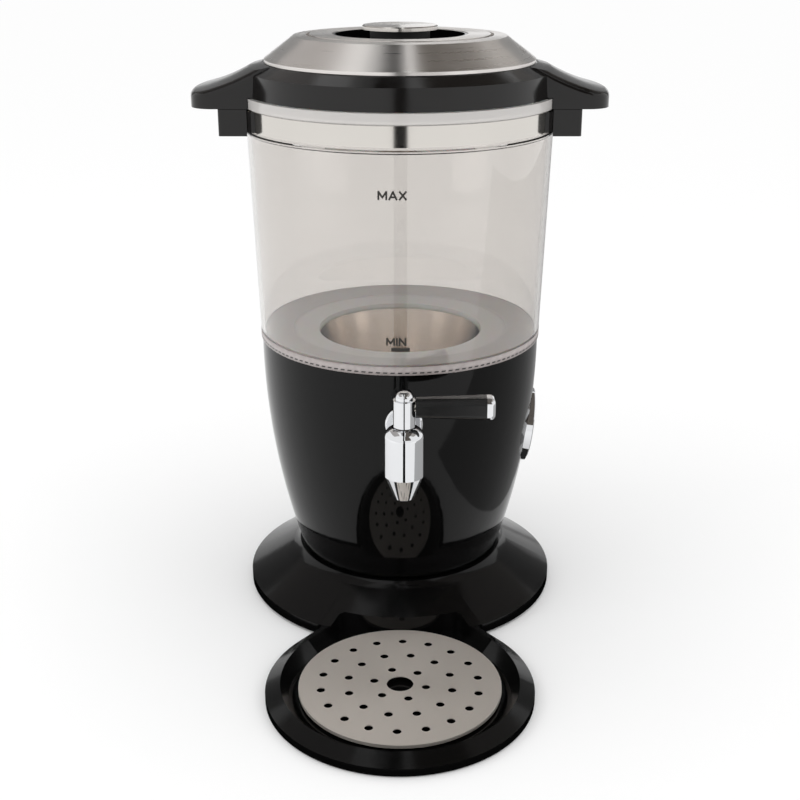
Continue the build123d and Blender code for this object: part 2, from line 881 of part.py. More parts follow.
with BuildPart() as body_shell:
    add(body_form.part)
    fillet(body_shell.edges().group_by(Axis.Z)[0], body_foot_round)
    add(body_hollow.part, mode=Mode.SUBTRACT)
    with BuildSketch(dial_plane.offset(cup_floor)):
        Circle(cup_radius)
    extrude(amount=2 * cup_depth, mode=Mode.SUBTRACT)
    with BuildSketch(dial_plane.offset(cup_floor)):
        Circle(bush_radius + seat_gap)
    extrude(amount=-body_wall, mode=Mode.SUBTRACT)
    with BuildSketch(Plane.XY.offset(body_bottom)):
        Circle(base_hole_radius)
    extrude(amount=base_wall, mode=Mode.SUBTRACT)
    with BuildSketch(Plane.XY.offset(body_bottom)):
        with Locations(*tie_places):
            Circle(screw_post_radius)
    extrude(amount=base_wall + tie_post_height)
    with BuildSketch(Plane.XY.offset(body_bottom)):
        with Locations(*tie_places):
            Circle(screw_core)
    extrude(amount=base_wall + tie_post_height, mode=Mode.SUBTRACT)
    with BuildSketch(Plane.XY.offset(ledge_bottom)):
        with Locations(*places_on_circle(flange_screw_circle, flange_screw_angles)):
            Circle(screw_hole)
    extrude(amount=ledge_thickness, mode=Mode.SUBTRACT)
    with BuildSketch(tap_plane.offset(shank_end)):
        Circle(shank_radius + face_gap)
    extrude(amount=2 * shank_end, mode=Mode.SUBTRACT)
    with BuildSketch(gland_plane.offset(shank_end)):
        Circle(gland_hole_radius)
    extrude(amount=2 * shank_end, mode=Mode.SUBTRACT)
body_shell.part.label = "body_shell"
export_step(body_shell.part, "parts/body_shell.step")

with BuildPart() as tie_screws:
    add(screw_set(tie_places, base_top - base_wall, base_wall + tie_post_height))
tie_screws.part.label = "tie_screws"
export_step(tie_screws.part, "parts/tie_screws.step")


# Cord inlet and terminal block

gland_wall = body_radius_at(gland_height)
gland_nut_seat = (
    math.sqrt(inner_radius_at(gland_height - gland_nut_width / 2) ** 2 - gland_nut_width**2 / 3)
    - seat_gap
)
with BuildPart() as cord_gland:
    with BuildSketch(gland_plane.offset(gland_wall - gland_flange_thickness)):
        Circle(gland_flange_radius)
    extrude(amount=2 * gland_flange_thickness)
    chamfer(cord_gland.faces().sort_by(Axis.Y)[-1].edges(), gland_edge)
    # its flange seats on the curved wall
    add(body_form.part.moved(Location((0, seat_gap, 0))), mode=Mode.SUBTRACT)
    with BuildSketch(gland_plane.offset(gland_wall + gland_flange_thickness / 2)):
        Circle(gland_hole_radius - seat_gap)
    extrude(amount=-gland_length)
    with BuildSketch(gland_plane):
        Circle(gland_bore)
    extrude(amount=2 * gland_wall, mode=Mode.SUBTRACT)
cord_gland.part.label = "cord_gland"
export_step(cord_gland.part, "parts/cord_gland.step")

with BuildPart() as gland_nut:
    with BuildSketch(gland_plane.offset(gland_nut_seat)):
        RegularPolygon(gland_nut_width / 2, 6, major_radius=False)
        Circle(gland_hole_radius, mode=Mode.SUBTRACT)
    extrude(amount=-gland_nut_thickness)
gland_nut.part.label = "gland_nut"
export_step(gland_nut.part, "parts/gland_nut.step")

with BuildPart() as terminal_block:
    with BuildSketch(Plane.XY.offset(body_bottom + base_wall)):
        with Locations(block_place):
            Rectangle(block_size[0], block_size[1])
    extrude(amount=block_size[2])
    with BuildSketch(Plane.XY.offset(body_bottom + base_wall + block_size[2])):
        with Locations(block_place):
            with GridLocations(block_pitch, 1, 3, 1):
                Circle(block_hole)
    extrude(amount=-block_hole_depth, mode=Mode.SUBTRACT)
terminal_block.part.label = "terminal_block"
export_step(terminal_block.part, "parts/terminal_block.step")


# Bowl, floor ring and vessel

flange_screw_places = places_on_circle(flange_screw_circle, flange_screw_angles)

with BuildPart() as bowl_hollow:
    with BuildSketch(Plane.XZ):
        with BuildLine():
            Polyline(
                (0, bowl_floor),
                (bowl_floor_radius, bowl_floor),
                (bowl_radius, bowl_flange_top),
                (0, bowl_flange_top),
                (0, bowl_floor),
            )
        make_face()
    revolve(axis=Axis.Z)
    fillet(bowl_hollow.edges().group_by(Axis.Z)[0], bowl_corner)

with BuildPart() as inner_bowl:
    with BuildSketch(Plane.XZ):
        with BuildLine():
            Polyline(
                (0, heater_top),
                (bowl_floor_radius + bowl_sheet, heater_top),
                (bowl_radius + bowl_sheet, ledge_top),
                (0, ledge_top),
                (0, heater_top),
            )
        make_face()
    revolve(axis=Axis.Z)
    fillet(inner_bowl.edges().group_by(Axis.Z)[0], bowl_corner + bowl_sheet)
    with BuildSketch(Plane.XY.offset(ledge_top)):
        Circle(bowl_flange_radius)
        with Locations(*flange_screw_places):
            Circle(screw_hole, mode=Mode.SUBTRACT)
    extrude(amount=bowl_sheet)
    # welded socket for the shank of the tap
    socket_start = bowl_floor_radius - bowl_corner
    with BuildSketch(tap_plane.offset(socket_start)):
        Circle(socket_radius)
    extrude(amount=socket_mouth - socket_start)
    add(bowl_hollow.part, mode=Mode.SUBTRACT)
    with BuildSketch(tap_plane.offset(socket_start)):
        Circle(shank_radius + seat_gap)
    extrude(amount=socket_mouth, mode=Mode.SUBTRACT)
inner_bowl.part.label = "inner_bowl"
export_step(inner_bowl.part, "parts/inner_bowl.step")

with BuildPart() as bowl_gasket:
    with BuildSketch(Plane.XY.offset(bowl_flange_top)):
        Circle(floor_mouth_radius + bowl_gasket_width)
        Circle(floor_mouth_radius + face_gap, mode=Mode.SUBTRACT)
    extrude(amount=gasket_thickness)
bowl_gasket.part.label = "bowl_gasket"
export_step(bowl_gasket.part, "parts/bowl_gasket.step")

with BuildPart() as vessel_gasket:
    with BuildSketch(Plane.XY.offset(bowl_flange_top)):
        Circle(flange_screw_circle - screw_hole - face_gap)
        Circle(foot_flange_radius + face_gap, mode=Mode.SUBTRACT)
    extrude(amount=gasket_thickness)
vessel_gasket.part.label = "vessel_gasket"
export_step(vessel_gasket.part, "parts/vessel_gasket.step")

with BuildPart() as vessel:
    with BuildSketch(Plane.XZ):
        with BuildLine():
            bead_radius = vessel_neck_radius + bead_out
            Polyline(
                (foot_flange_radius, vessel_bottom),
                (vessel_radius_at(vessel_bottom), vessel_bottom),
                (vessel_neck_radius, vessel_taper_top),
                (bead_radius, vessel_taper_top + bead_height / 3),
                (bead_radius, vessel_taper_top + bead_height * 2 / 3),
                (vessel_neck_radius, vessel_taper_top + bead_height),
                (vessel_neck_radius, flange_bottom),
                (flange_radius, flange_bottom),
                (flange_radius, vessel_top),
                (neck_inner, vessel_top),
                (neck_inner, vessel_taper_top),
                (vessel_radius_at(foot_flange_top) - vessel_wall, foot_flange_top),
                (foot_flange_radius, foot_flange_top),
                (foot_flange_radius, vessel_bottom),
            )
        make_face()
    revolve(axis=Axis.Z)
    with BuildSketch(Plane.XY.offset(vessel_bottom)):
        with Locations(*flange_screw_places):
            Circle(screw_hole)
    extrude(amount=foot_flange_thickness, mode=Mode.SUBTRACT)
vessel.part.label = "vessel"
export_step(vessel.part, "parts/vessel.step")

with BuildPart() as floor_ring:
    with BuildSketch(Plane.XZ):
        with BuildLine():
            slope = floor_fall / (floor_ring_radius - floor_mouth_radius)
            step_top = floor_edge_height - floor_step_inset * slope
            Polyline(
                (floor_mouth_radius, vessel_bottom),
                (foot_flange_radius - face_gap, vessel_bottom),
                (foot_flange_radius - face_gap, floor_ring_seat),
                (floor_ring_radius, floor_ring_seat),
                (floor_ring_radius, floor_edge_height),
                (floor_step_radius, step_top),
                (floor_step_radius - floor_step, step_top - floor_step),
                (floor_mouth_radius, floor_mouth_height),
                (floor_mouth_radius, vessel_bottom),
            )
        make_face()
    revolve(axis=Axis.Z)
    with BuildSketch(Plane.XY.offset(floor_ring_seat)):
        with Locations(*flange_screw_places):
            Circle(screw_core)
    extrude(amount=flange_screw_bite, mode=Mode.SUBTRACT)
floor_ring.part.label = "floor_ring"
export_step(floor_ring.part, "parts/floor_ring.step")

with BuildPart() as flange_screws:
    add(
        screw_set(
            flange_screw_places,
            ledge_bottom,
            floor_ring_seat + flange_screw_bite - face_gap - ledge_bottom,
        )
    )
flange_screws.part.label = "flange_screws"
export_step(flange_screws.part, "parts/flange_screws.step")


# Heater under the bowl

with BuildPart() as heating_plate:
    with BuildSketch(Plane.XY.offset(heater_bottom)):
        Circle(heater_radius)
    extrude(amount=heater_thickness)
    # cast ridge that holds the heating element, open at the back
    with BuildSketch(Plane.XY.offset(heater_bottom)):
        Circle(element_circle + element_width / 2)
        Circle(element_circle - element_width / 2, mode=Mode.SUBTRACT)
        half_gap = math.tan(math.radians(element_opening / 2)) * heater_radius
        with BuildLine():
            Polyline((0, 0), (half_gap, heater_radius), (-half_gap, heater_radius), (0, 0))
        make_face(mode=Mode.SUBTRACT)
    extrude(amount=-element_drop)
heating_plate.part.label = "heating_plate"
export_step(heating_plate.part, "parts/heating_plate.step")

pin_turn = element_opening / 2 + math.degrees(element_width / 2 / element_circle)
with BuildPart() as element_pins:
    with BuildSketch(Plane.XY.offset(heater_bottom - element_drop)):
        with Locations(*places_on_circle(element_circle, (90 - pin_turn, 90 + pin_turn))):
            Circle(pin_radius)
    extrude(amount=-pin_length)
element_pins.part.label = "element_pins"
export_step(element_pins.part, "parts/element_pins.step")

with BuildPart() as thermal_cutout:
    with BuildSketch(Plane.XY.offset(heater_bottom)):
        Circle(cutout_radius)
    extrude(amount=-cutout_height)
    with BuildSketch(Plane.XY.offset(heater_bottom - cutout_height)):
        with GridLocations(cutout_radius, 1, 2, 1):
            Rectangle(tab_thickness, tab_width)
    extrude(amount=-tab_length)
thermal_cutout.part.label = "thermal_cutout"
export_step(thermal_cutout.part, "parts/thermal_cutout.step")


# Steel band with its saddles, and the handle lugs

with BuildPart() as clamp_band:
    with BuildSketch(Plane.XY.offset(band_bottom)):
        Circle(band_outer)
        Circle(band_inner, mode=Mode.SUBTRACT)
    extrude(amount=band_height)
clamp_band.part.label = "clamp_band"
export_step(clamp_band.part, "parts/clamp_band.step")

with BuildPart() as band_saddles:
    with BuildSketch(Plane.XY.offset(band_bottom)):
        Circle(saddle_outer)
        Circle(saddle_inner, mode=Mode.SUBTRACT)
        rise = saddle_outer * math.sin(math.radians(saddle_angle))
        Rectangle(2 * saddle_outer, 2 * rise, mode=Mode.INTERSECT)
    extrude(amount=band_height)
band_saddles.part.label = "band_saddles"
export_step(band_saddles.part, "parts/band_saddles.step")

lug_screw_places = [
    (side * lug_screw_out, end * lug_screw_side) for side in (1, -1) for end in (1, -1)
]
with BuildPart() as handle_lugs:
    with BuildSketch(Plane.XY.offset(lug_bottom)):
        Rectangle(2 * lug_outer, 2 * handle_half_depth)
        Circle(saddle_outer + face_gap, mode=Mode.SUBTRACT)
    extrude(amount=lug_height)
    corners = handle_lugs.edges().filter_by(Axis.Z)
    fillet(corners.group_by(Axis.X)[0] + corners.group_by(Axis.X)[-1], lug_corner)
    with BuildSketch(Plane.XY.offset(lug_bottom)):
        with Locations(*lug_screw_places):
            Circle(screw_head_radius + face_gap)
    extrude(amount=lug_screw_sink, mode=Mode.SUBTRACT)
    with BuildSketch(Plane.XY.offset(lug_bottom)):
        with Locations(*lug_screw_places):
            Circle(screw_hole)
    extrude(amount=lug_height, mode=Mode.SUBTRACT)
handle_lugs.part.label = "handle_lugs"
export_step(handle_lugs.part, "parts/handle_lugs.step")

with BuildPart() as lug_screws:
    add(
        screw_set(
            lug_screw_places,
            lug_bottom + lug_screw_sink,
            wing_bottom + lug_screw_bite - lug_bottom - lug_screw_sink,
        )
    )
lug_screws.part.label = "lug_screws"
export_step(lug_screws.part, "parts/lug_screws.step")


# Collar with its two wing grips

groove_inner = neck_inner - face_gap
groove_outer = collar_foot_radius - collar_groove_wall
groove_top = vessel_top + gasket_thickness
wing_depth = 2 * handle_half_depth
wing_inner = flange_radius + 2 * face_gap
wing_clear = vessel_top + 2 * face_gap
wing_root = (collar_top_radius + wing_root_out, collar_top)
wing_brow = (collar_top_radius + wing_brow_out, collar_top - wing_brow_drop)
wing_tip = (wing_tip_radius, wing_bottom + wing_tip_height)
with BuildPart() as wing_form:
    with BuildSketch(Plane.XZ):
        with BuildLine():
            SagittaArc(wing_brow, wing_tip, -wing_dip)
            Polyline(
                wing_tip,
                (wing_tip_radius, wing_bottom),
                (wing_inner, wing_bottom),
                (wing_inner, wing_clear),
                (groove_outer, wing_clear),
                (groove_outer, groove_top + face_gap),
                (collar_crease_radius - collar_wall / 2, groove_top + face_gap),
                (collar_crease_radius - collar_wall / 2, collar_crease_height),
                (wing_root[0], collar_top - collar_wall / 2),
                wing_root,
                wing_brow,
            )
        make_face()
    revolve(axis=Axis.Z)
    with BuildSketch(Plane.XY.offset(wing_bottom)) as wing_plan:
        Circle(wing_tip_radius)
        Rectangle(2 * wing_tip_radius, wing_depth, mode=Mode.INTERSECT)
        fillet(wing_plan.vertices(), wing_corner)
    extrude(amount=collar_top - wing_bottom, mode=Mode.INTERSECT)
    # round the upper edge over, along both sides and round the tip
    wing_edges = wing_form.edges().filter_by(
        lambda edge: abs(edge.center().X) > flange_radius
        and edge.center().Z > wing_clear + face_gap
        and abs(edge.tangent_at(0.5).Z) < 0.9
    )
    fillet(wing_edges, wing_edge_round)

# the grips are open below, with posts for the lug screws and a rib in the middle
with BuildPart() as wing_hollow:
    with BuildSketch(Plane.XZ):
        with BuildLine():
            hollow_tip = wing_tip_radius - wing_wall
            hollow_root = wing_inner + wing_wall
            hollow_bend = hollow_tip - wing_edge_round
            fall = (wing_brow[1] - wing_tip[1]) / (wing_tip[0] - wing_brow[0])
            under = wing_brow[1] - wing_dip - wing_wall  # of the top where it leaves the brow
            Polyline(
                (hollow_root, wing_bottom),
                (hollow_tip, wing_bottom),
                (hollow_tip, wing_tip[1] - wing_edge_round / 2 - wing_wall),
                (hollow_bend, under - (hollow_bend - wing_brow[0]) * fall),
                (hollow_root, under - (hollow_root - wing_brow[0]) * fall),
                (hollow_root, wing_bottom),
            )
        make_face()
    revolve(axis=Axis.Z)
    with BuildSketch(Plane.XY.offset(wing_bottom)) as hollow_plan:
        Circle(hollow_tip)
        Rectangle(2 * hollow_tip, wing_depth - 2 * wing_wall, mode=Mode.INTERSECT)
        fillet(hollow_plan.vertices(), wing_corner - wing_wall)
        Rectangle(2 * hollow_tip, wing_rib, mode=Mode.SUBTRACT)
        with Locations(*lug_screw_places):
            Circle(screw_post_radius, mode=Mode.SUBTRACT)
    extrude(amount=collar_top - wing_bottom, mode=Mode.INTERSECT)

with BuildPart() as collar:
    with BuildSketch(Plane.XZ):
        with BuildLine():
            skirt_outer = collar_mouth_radius + collar_skirt_wall
            spigot_inner = groove_inner - collar_wall
            inside_top = collar_top - collar_wall
            Polyline(
                (collar_foot_radius, vessel_top + face_gap),
                (collar_crease_radius, collar_crease_height),
                (collar_top_radius, collar_top),
                (collar_mouth_radius, collar_top),
                (collar_mouth_radius, collar_skirt_bottom),
                (skirt_outer, collar_skirt_bottom),
                (skirt_outer, inside_top),
                (spigot_inner, collar_crease_height - collar_wall),
                (spigot_inner, vessel_top - spigot_depth),
                (groove_inner, vessel_top - spigot_depth),
                (groove_inner, groove_top),
                (groove_outer, groove_top),
                (groove_outer, vessel_top + face_gap),
                (collar_foot_radius, vessel_top + face_gap),
            )
        make_face()
    revolve(axis=Axis.Z)
    add(wing_form.part)
    add(wing_hollow.part, mode=Mode.SUBTRACT)
    with BuildSketch(Plane.XY.offset(wing_bottom)):
        with Locations(*lug_screw_places):
            Circle(screw_core)
    extrude(amount=lug_screw_bite + face_gap, mode=Mode.SUBTRACT)
collar.part.label = "collar"
export_step(collar.part, "parts/collar.step")

with BuildPart() as collar_gasket:
    with BuildSketch(Plane.XY.offset(vessel_top)):
        Circle(groove_outer - seat_gap)
        Circle(groove_inner + seat_gap, mode=Mode.SUBTRACT)
    extrude(amount=gasket_thickness)
collar_gasket.part.label = "collar_gasket"
export_step(collar_gasket.part, "parts/collar_gasket.step")


# Lid

vent_angles = [vent_azimuth - 90 + step * vent_pitch for step in (-1, 0, 1)]
with BuildPart() as lid_cover:
    with BuildSketch(Plane.XZ):
        with BuildLine():
            lip_inside = lid_lip_radius - lid_sheet
            groove_floor = lid_top - lid_groove_depth
            Polyline(
                (lip_inside - lid_hem, lid_bottom),
                (lid_lip_radius, lid_bottom),
                (lid_lip_radius, lid_lip_top),
                (lid_cone_radius, lid_cone_top),
                (lid_groove_outer, lid_top - lid_sheet / 2),
                (lid_groove_outer, groove_floor),
                (lid_groove_inner, groove_floor),
                (lid_groove_inner, lid_top),
                (well_radius, lid_top),
                (well_radius, groove_floor),
                (well_radius + lid_sheet, groove_floor),
                (well_radius + lid_sheet, lid_top - lid_sheet),
                (lid_groove_inner - lid_sheet, lid_top - lid_sheet),
                (lid_groove_inner - lid_sheet, groove_floor - lid_sheet),
                (lid_groove_outer + lid_sheet, groove_floor - lid_sheet),
                (lid_groove_outer + lid_sheet, lid_slope_inside(lid_cone_radius)),
                (lid_cone_radius, lid_slope_inside(lid_cone_radius)),
                (lip_inside, lid_slope_inside(lip_inside)),
                (lip_inside, lid_bottom + lid_sheet),
                (lip_inside - lid_hem, lid_bottom + lid_sheet),
                (lip_inside - lid_hem, lid_bottom),
            )
        make_face()
    revolve(axis=Axis.Z)
    with BuildSketch(Plane.XY.offset(lid_lip_top)):
        for angle in vent_angles:
            with Locations(Location(places_on_circle(vent_radius, (angle,))[0] + (0,), angle)):
                SlotOverall(vent_length, vent_width)
    extrude(amount=lid_top - lid_lip_top, mode=Mode.SUBTRACT)
lid_cover.part.label = "lid_cover"
export_step(lid_cover.part, "parts/lid_cover.step")

lid_screw_places = places_on_circle(lid_screw_circle, lid_screw_angles)
with BuildPart() as lid_base:
    with BuildSketch(Plane.XZ):
        with BuildLine():
            rim_out = lip_inside - seat_gap
            rim_low = lid_bottom + lid_sheet + seat_gap
            deck_inset = (lid_deck - lid_slope_inside(lid_lip_radius)) * lid_cone_width
            deck_edge = lid_lip_radius - deck_inset / lid_cone_rise
            Polyline(
                (well_hole_radius + lid_wall, lid_deck_bottom),
                (lid_skirt_radius - lid_wall, lid_deck_bottom),
                (lid_skirt_radius - lid_wall, lid_skirt_bottom),
                (lid_skirt_radius, lid_skirt_bottom),
                (lid_skirt_radius, rim_low),
                (rim_out, rim_low),
                (rim_out, lid_slope_inside(rim_out) - face_gap),
                (deck_edge - face_gap, lid_deck),
                (well_hole_radius + lid_wall, lid_deck),
                (well_hole_radius + lid_wall, lid_deck_bottom),
            )
        make_face()
    revolve(axis=Axis.Z)
    with BuildSketch(Plane.XY.offset(lid_deck)):
        with Locations(*lid_screw_places):
            Circle(screw_hole)
        # steam passes up through these holes to the slots in the cover
        with Locations(*places_on_circle(vent_radius, vent_angles)):
            Circle(screw_hole)
    extrude(amount=-lid_wall, mode=Mode.SUBTRACT)
lid_base.part.label = "lid_base"
export_step(lid_base.part, "parts/lid_base.step")

with BuildPart() as lid_well:
    with BuildSketch(Plane.XZ):
        with BuildLine():
            well_outside = well_radius - seat_gap
            well_inside = well_outside - well_wall
            Polyline(
                (well_hole_radius, lid_deck + seat_gap),
                (well_outside, lid_deck + seat_gap),
                (well_outside, lid_top - well_drop),
                (well_inside, lid_top - well_drop),
                (well_inside, well_floor),
                (well_hole_radius, well_floor),
                (well_hole_radius, lid_deck + seat_gap),
            )
        make_face()
    revolve(axis=Axis.Z)
    with BuildSketch(Plane.XY.offset(lid_deck + seat_gap)):
        with Locations(*lid_screw_places):
            Circle(screw_core)
    extrude(amount=well_wall - face_gap, mode=Mode.SUBTRACT)
lid_well.part.label = "lid_well"
export_step(lid_well.part, "parts/lid_well.step")

with BuildPart() as lid_screws:
    add(screw_set(lid_screw_places, lid_deck_bottom, lid_wall + well_wall - 2 * face_gap))
lid_screws.part.label = "lid_screws"
export_step(lid_screws.part, "parts/lid_screws.step")

with BuildPart() as lid_gasket:
    with BuildSketch(Plane.XY.offset(lid_gasket_bottom)):
        Circle(collar_mouth_radius - face_gap)
        Circle(lid_skirt_radius + seat_gap, mode=Mode.SUBTRACT)
    extrude(amount=2 * gasket_thickness)
lid_gasket.part.label = "lid_gasket"
export_step(lid_gasket.part, "parts/lid_gasket.step")


# Steam cap in the well of the lid

cap_seal_bottom = well_floor + face_gap
plug_seat = cap_seal_bottom + gasket_thickness
with BuildPart() as steam_cap:
    with BuildSketch(Plane.XY.offset(cap_bottom)):
        Circle(cap_radius)
    extrude(amount=cap_thickness)
    chamfer(steam_cap.faces().sort_by(Axis.Z)[-1].edges(), cap_edge)
    with BuildSketch(Plane.XY.offset(cap_bottom)):
        Circle(cap_peg_radius)
    extrude(amount=-cap_peg_length)
steam_cap.part.label = "steam_cap"
export_step(steam_cap.part, "parts/steam_cap.step")

with BuildPart() as cap_plug:
    with BuildSketch(Plane.XY.offset(plug_seat)):
        Circle(plug_skirt_radius)
    extrude(amount=cap_bottom - seat_gap - plug_seat)
    with BuildSketch(Plane.XY.offset(plug_bottom)):
        Circle(plug_stem_radius)
    extrude(amount=plug_seat - plug_bottom)
    chamfer(cap_plug.faces().sort_by(Axis.Z)[0].edges(), cap_edge)
    with BuildSketch(Plane.XY.offset(cap_bottom)):
        Circle(cap_peg_radius + seat_gap)
    extrude(amount=-cap_peg_length - face_gap, mode=Mode.SUBTRACT)
cap_plug.part.label = "cap_plug"
export_step(cap_plug.part, "parts/cap_plug.step")

with BuildPart() as cap_seal:
    with BuildSketch(Plane.XY.offset(cap_seal_bottom)):
        Circle(plug_skirt_radius - face_gap)
        Circle(plug_skirt_radius - cap_seal_width, mode=Mode.SUBTRACT)
    extrude(amount=gasket_thickness)
cap_seal.part.label = "cap_seal"
export_step(cap_seal.part, "parts/cap_seal.step")


# Tap

seal_front = tap_wall + tap_seal_thickness
barrel_start = seal_front + rosette_thickness
with BuildPart() as tap_rosette:
    with BuildSketch(tap_plane.offset(seal_front)):
        Circle(rosette_radius)
    extrude(amount=rosette_thickness)
    chamfer(tap_rosette.faces().sort_by(Axis.Y)[0].edges(), rosette_edge)
    with BuildSketch(tap_plane.offset(seal_front)):
        Circle(shank_radius + seat_gap)
    extrude(amount=rosette_thickness, mode=Mode.SUBTRACT)
tap_rosette.part.label = "tap_rosette"
export_step(tap_rosette.part, "parts/tap_rosette.step")

with BuildPart() as tap_seal:
    with BuildSketch(tap_plane.offset(seal_front - seat_gap)):
        Circle(rosette_radius - rosette_edge)
        Circle(shank_radius + face_gap, mode=Mode.SUBTRACT)
    extrude(amount=-2 * tap_seal_thickness)
    # the back of the seal follows the curved wall
    add(body_form.part.moved(Location((0, -tap_seal_gap, 0))), mode=Mode.SUBTRACT)
tap_seal.part.label = "tap_seal"
export_step(tap_seal.part, "parts/tap_seal.step")

with BuildPart() as tap_body:
    with BuildSketch(tap_section):
        with BuildLine():
            Polyline(
                (tap_x, shoulder_top),
                (tap_x, spout_tip),
                (tap_x + spout_radius, spout_tip),
                (tap_x + column_radius, column_bottom),
                (tap_x + column_radius, column_top),
            )
            ThreePointArc(
                (tap_x + column_radius, column_top),
                (
                    tap_x + (column_radius + shoulder_radius) / 2 + shoulder_swell,
                    (column_top + shoulder_top) / 2 + shoulder_swell,
                ),
                (tap_x + shoulder_radius, shoulder_top),
            )
            Line((tap_x + shoulder_radius, shoulder_top), (tap_x, shoulder_top))
        make_face()
    revolve(axis=tap_axis)
    with BuildSketch(tap_plane.offset(barrel_start + seat_gap)):
        Circle(barrel_radius)
    extrude(amount=-tap_y - barrel_start - seat_gap)
    with BuildSketch(tap_plane.offset(shank_end)):
        Circle(shank_radius)
    extrude(amount=-tap_y - shank_end)
    # water way from the bowl to the valve, then down to the spout
    with BuildSketch(tap_plane.offset(shank_end)):
        Circle(tap_bore)
    extrude(amount=-tap_y - shank_end, mode=Mode.SUBTRACT)
    with BuildSketch(Plane.XY.offset(valve_bottom)):
        with Locations((tap_x, tap_y)):
            Circle(valve_radius + running_gap)
    extrude(amount=bonnet_bottom - valve_bottom, mode=Mode.SUBTRACT)
    with BuildSketch(Plane.XY.offset(bonnet_bottom)):
        with Locations((tap_x, tap_y)):
            Circle(bonnet_radius + seat_gap)
    extrude(amount=shoulder_top - bonnet_bottom, mode=Mode.SUBTRACT)
    with BuildSketch(Plane.XY.offset(spout_tip)):
        with Locations((tap_x, tap_y)):
            Circle(spout_bore)
    extrude(amount=valve_bottom - spout_tip, mode=Mode.SUBTRACT)
tap_body.part.label = "tap_body"
export_step(tap_body.part, "parts/tap_body.step")

# threaded ring that keeps the valve plug in the column
with BuildPart() as tap_bonnet:
    with BuildSketch(Plane.XY.offset(bonnet_bottom + seat_gap)):
        with Locations((tap_x, tap_y)):
            Circle(bonnet_radius)
            Circle(spindle_radius + running_gap, mode=Mode.SUBTRACT)
    extrude(amount=shoulder_top - bonnet_bottom - seat_gap)
tap_bonnet.part.label = "tap_bonnet"
export_step(tap_bonnet.part, "parts/tap_bonnet.step")

with BuildPart() as tap_lock_nut:
    with BuildSketch(tap_plane.offset(nut_seat)):
        RegularPolygon(nut_width / 2, 6, major_radius=False)
        Circle(shank_radius + seat_gap, mode=Mode.SUBTRACT)
    extrude(amount=-nut_thickness)
tap_lock_nut.part.label = "tap_lock_nut"
export_step(tap_lock_nut.part, "parts/tap_lock_nut.step")

with BuildPart() as spout_insert:
    with BuildSketch(Plane.XY.offset(spout_tip + seat_gap)):
        with Locations((tap_x, tap_y)):
            Circle(spout_bore - seat_gap)
            Circle(spout_bore - insert_wall, mode=Mode.SUBTRACT)
            # the two crossed vanes calm the stream
            Rectangle(2 * spout_bore - insert_wall, insert_wall)
            Rectangle(insert_wall, 2 * spout_bore - insert_wall)
    extrude(amount=insert_height)
spout_insert.part.label = "spout_insert"
export_step(spout_insert.part, "parts/spout_insert.step")


# Tap lever

with BuildPart() as valve_plug:
    with BuildSketch(Plane.XY.offset(valve_bottom + face_gap)):
        with Locations((tap_x, tap_y)):
            Circle(valve_radius)
    extrude(amount=bonnet_bottom - valve_bottom - 2 * face_gap)
    with BuildSketch(Plane.XY.offset(bonnet_bottom - face_gap)):
        with Locations((tap_x, tap_y)):
            Circle(spindle_radius)
    extrude(amount=spindle_top - bonnet_bottom + face_gap)
    # the port turns from the side, where it is closed, to the barrel
    with BuildSketch(Plane.XY.offset(valve_bottom)):
        with Locations((tap_x, tap_y)):
            Circle(valve_port)
    extrude(amount=barrel_height - valve_bottom, mode=Mode.SUBTRACT)
    with BuildSketch(Plane(origin=(tap_x, tap_y, barrel_height), z_dir=(-1, 0, 0))):
        Circle(valve_port)
    extrude(amount=2 * valve_radius, mode=Mode.SUBTRACT)
valve_plug.part.label = "valve_plug"
export_step(valve_plug.part, "parts/valve_plug.step")

with BuildPart() as lever_hub:
    with BuildSketch(Plane.XY.offset(hub_bottom)):
        with Locations((tap_x, tap_y)):
            Circle(hub_radius)
    extrude(amount=hub_height)
    chamfer(lever_hub.edges().group_by(Axis.Z)[0], hub_edge)
    with BuildSketch(Plane.XY.offset(hub_bottom)):
        with Locations((tap_x, tap_y)):
            Circle(spindle_radius + seat_gap)
    extrude(amount=spindle_top + face_gap - hub_bottom, mode=Mode.SUBTRACT)
    with BuildSketch(Plane.XY.offset(hub_top)):
        with Locations((tap_x, tap_y)):
            Circle(cap_pin_radius + seat_gap)
    extrude(amount=-cap_pin_length - face_gap, mode=Mode.SUBTRACT)
    with BuildSketch(lever_plane.offset(stub_start - seat_gap)):
        Circle(stub_radius + seat_gap)
    extrude(amount=hub_radius, mode=Mode.SUBTRACT)
lever_hub.part.label = "lever_hub"
export_step(lever_hub.part, "parts/lever_hub.step")

with BuildPart() as hub_cap:
    with BuildSketch(Plane.XY.offset(hub_top + seat_gap)):
        with Locations((tap_x, tap_y)):
            Circle(hub_cap_radius)
    extrude(amount=hub_cap_top - hub_top - seat_gap)
    fillet(hub_cap.edges().group_by(Axis.Z)[-1], hub_cap_round)
    with BuildSketch(Plane.XY.offset(hub_top + seat_gap)):
        with Locations((tap_x, tap_y)):
            Circle(cap_pin_radius)
    extrude(amount=-cap_pin_length)
hub_cap.part.label = "hub_cap"
export_step(hub_cap.part, "parts/hub_cap.step")

with BuildPart() as lever_stub:
    with BuildSketch(lever_plane.offset(stub_start)):
        Circle(stub_radius)
    extrude(amount=stub_end - stub_start)
lever_stub.part.label = "lever_stub"
export_step(lever_stub.part, "parts/lever_stub.step")

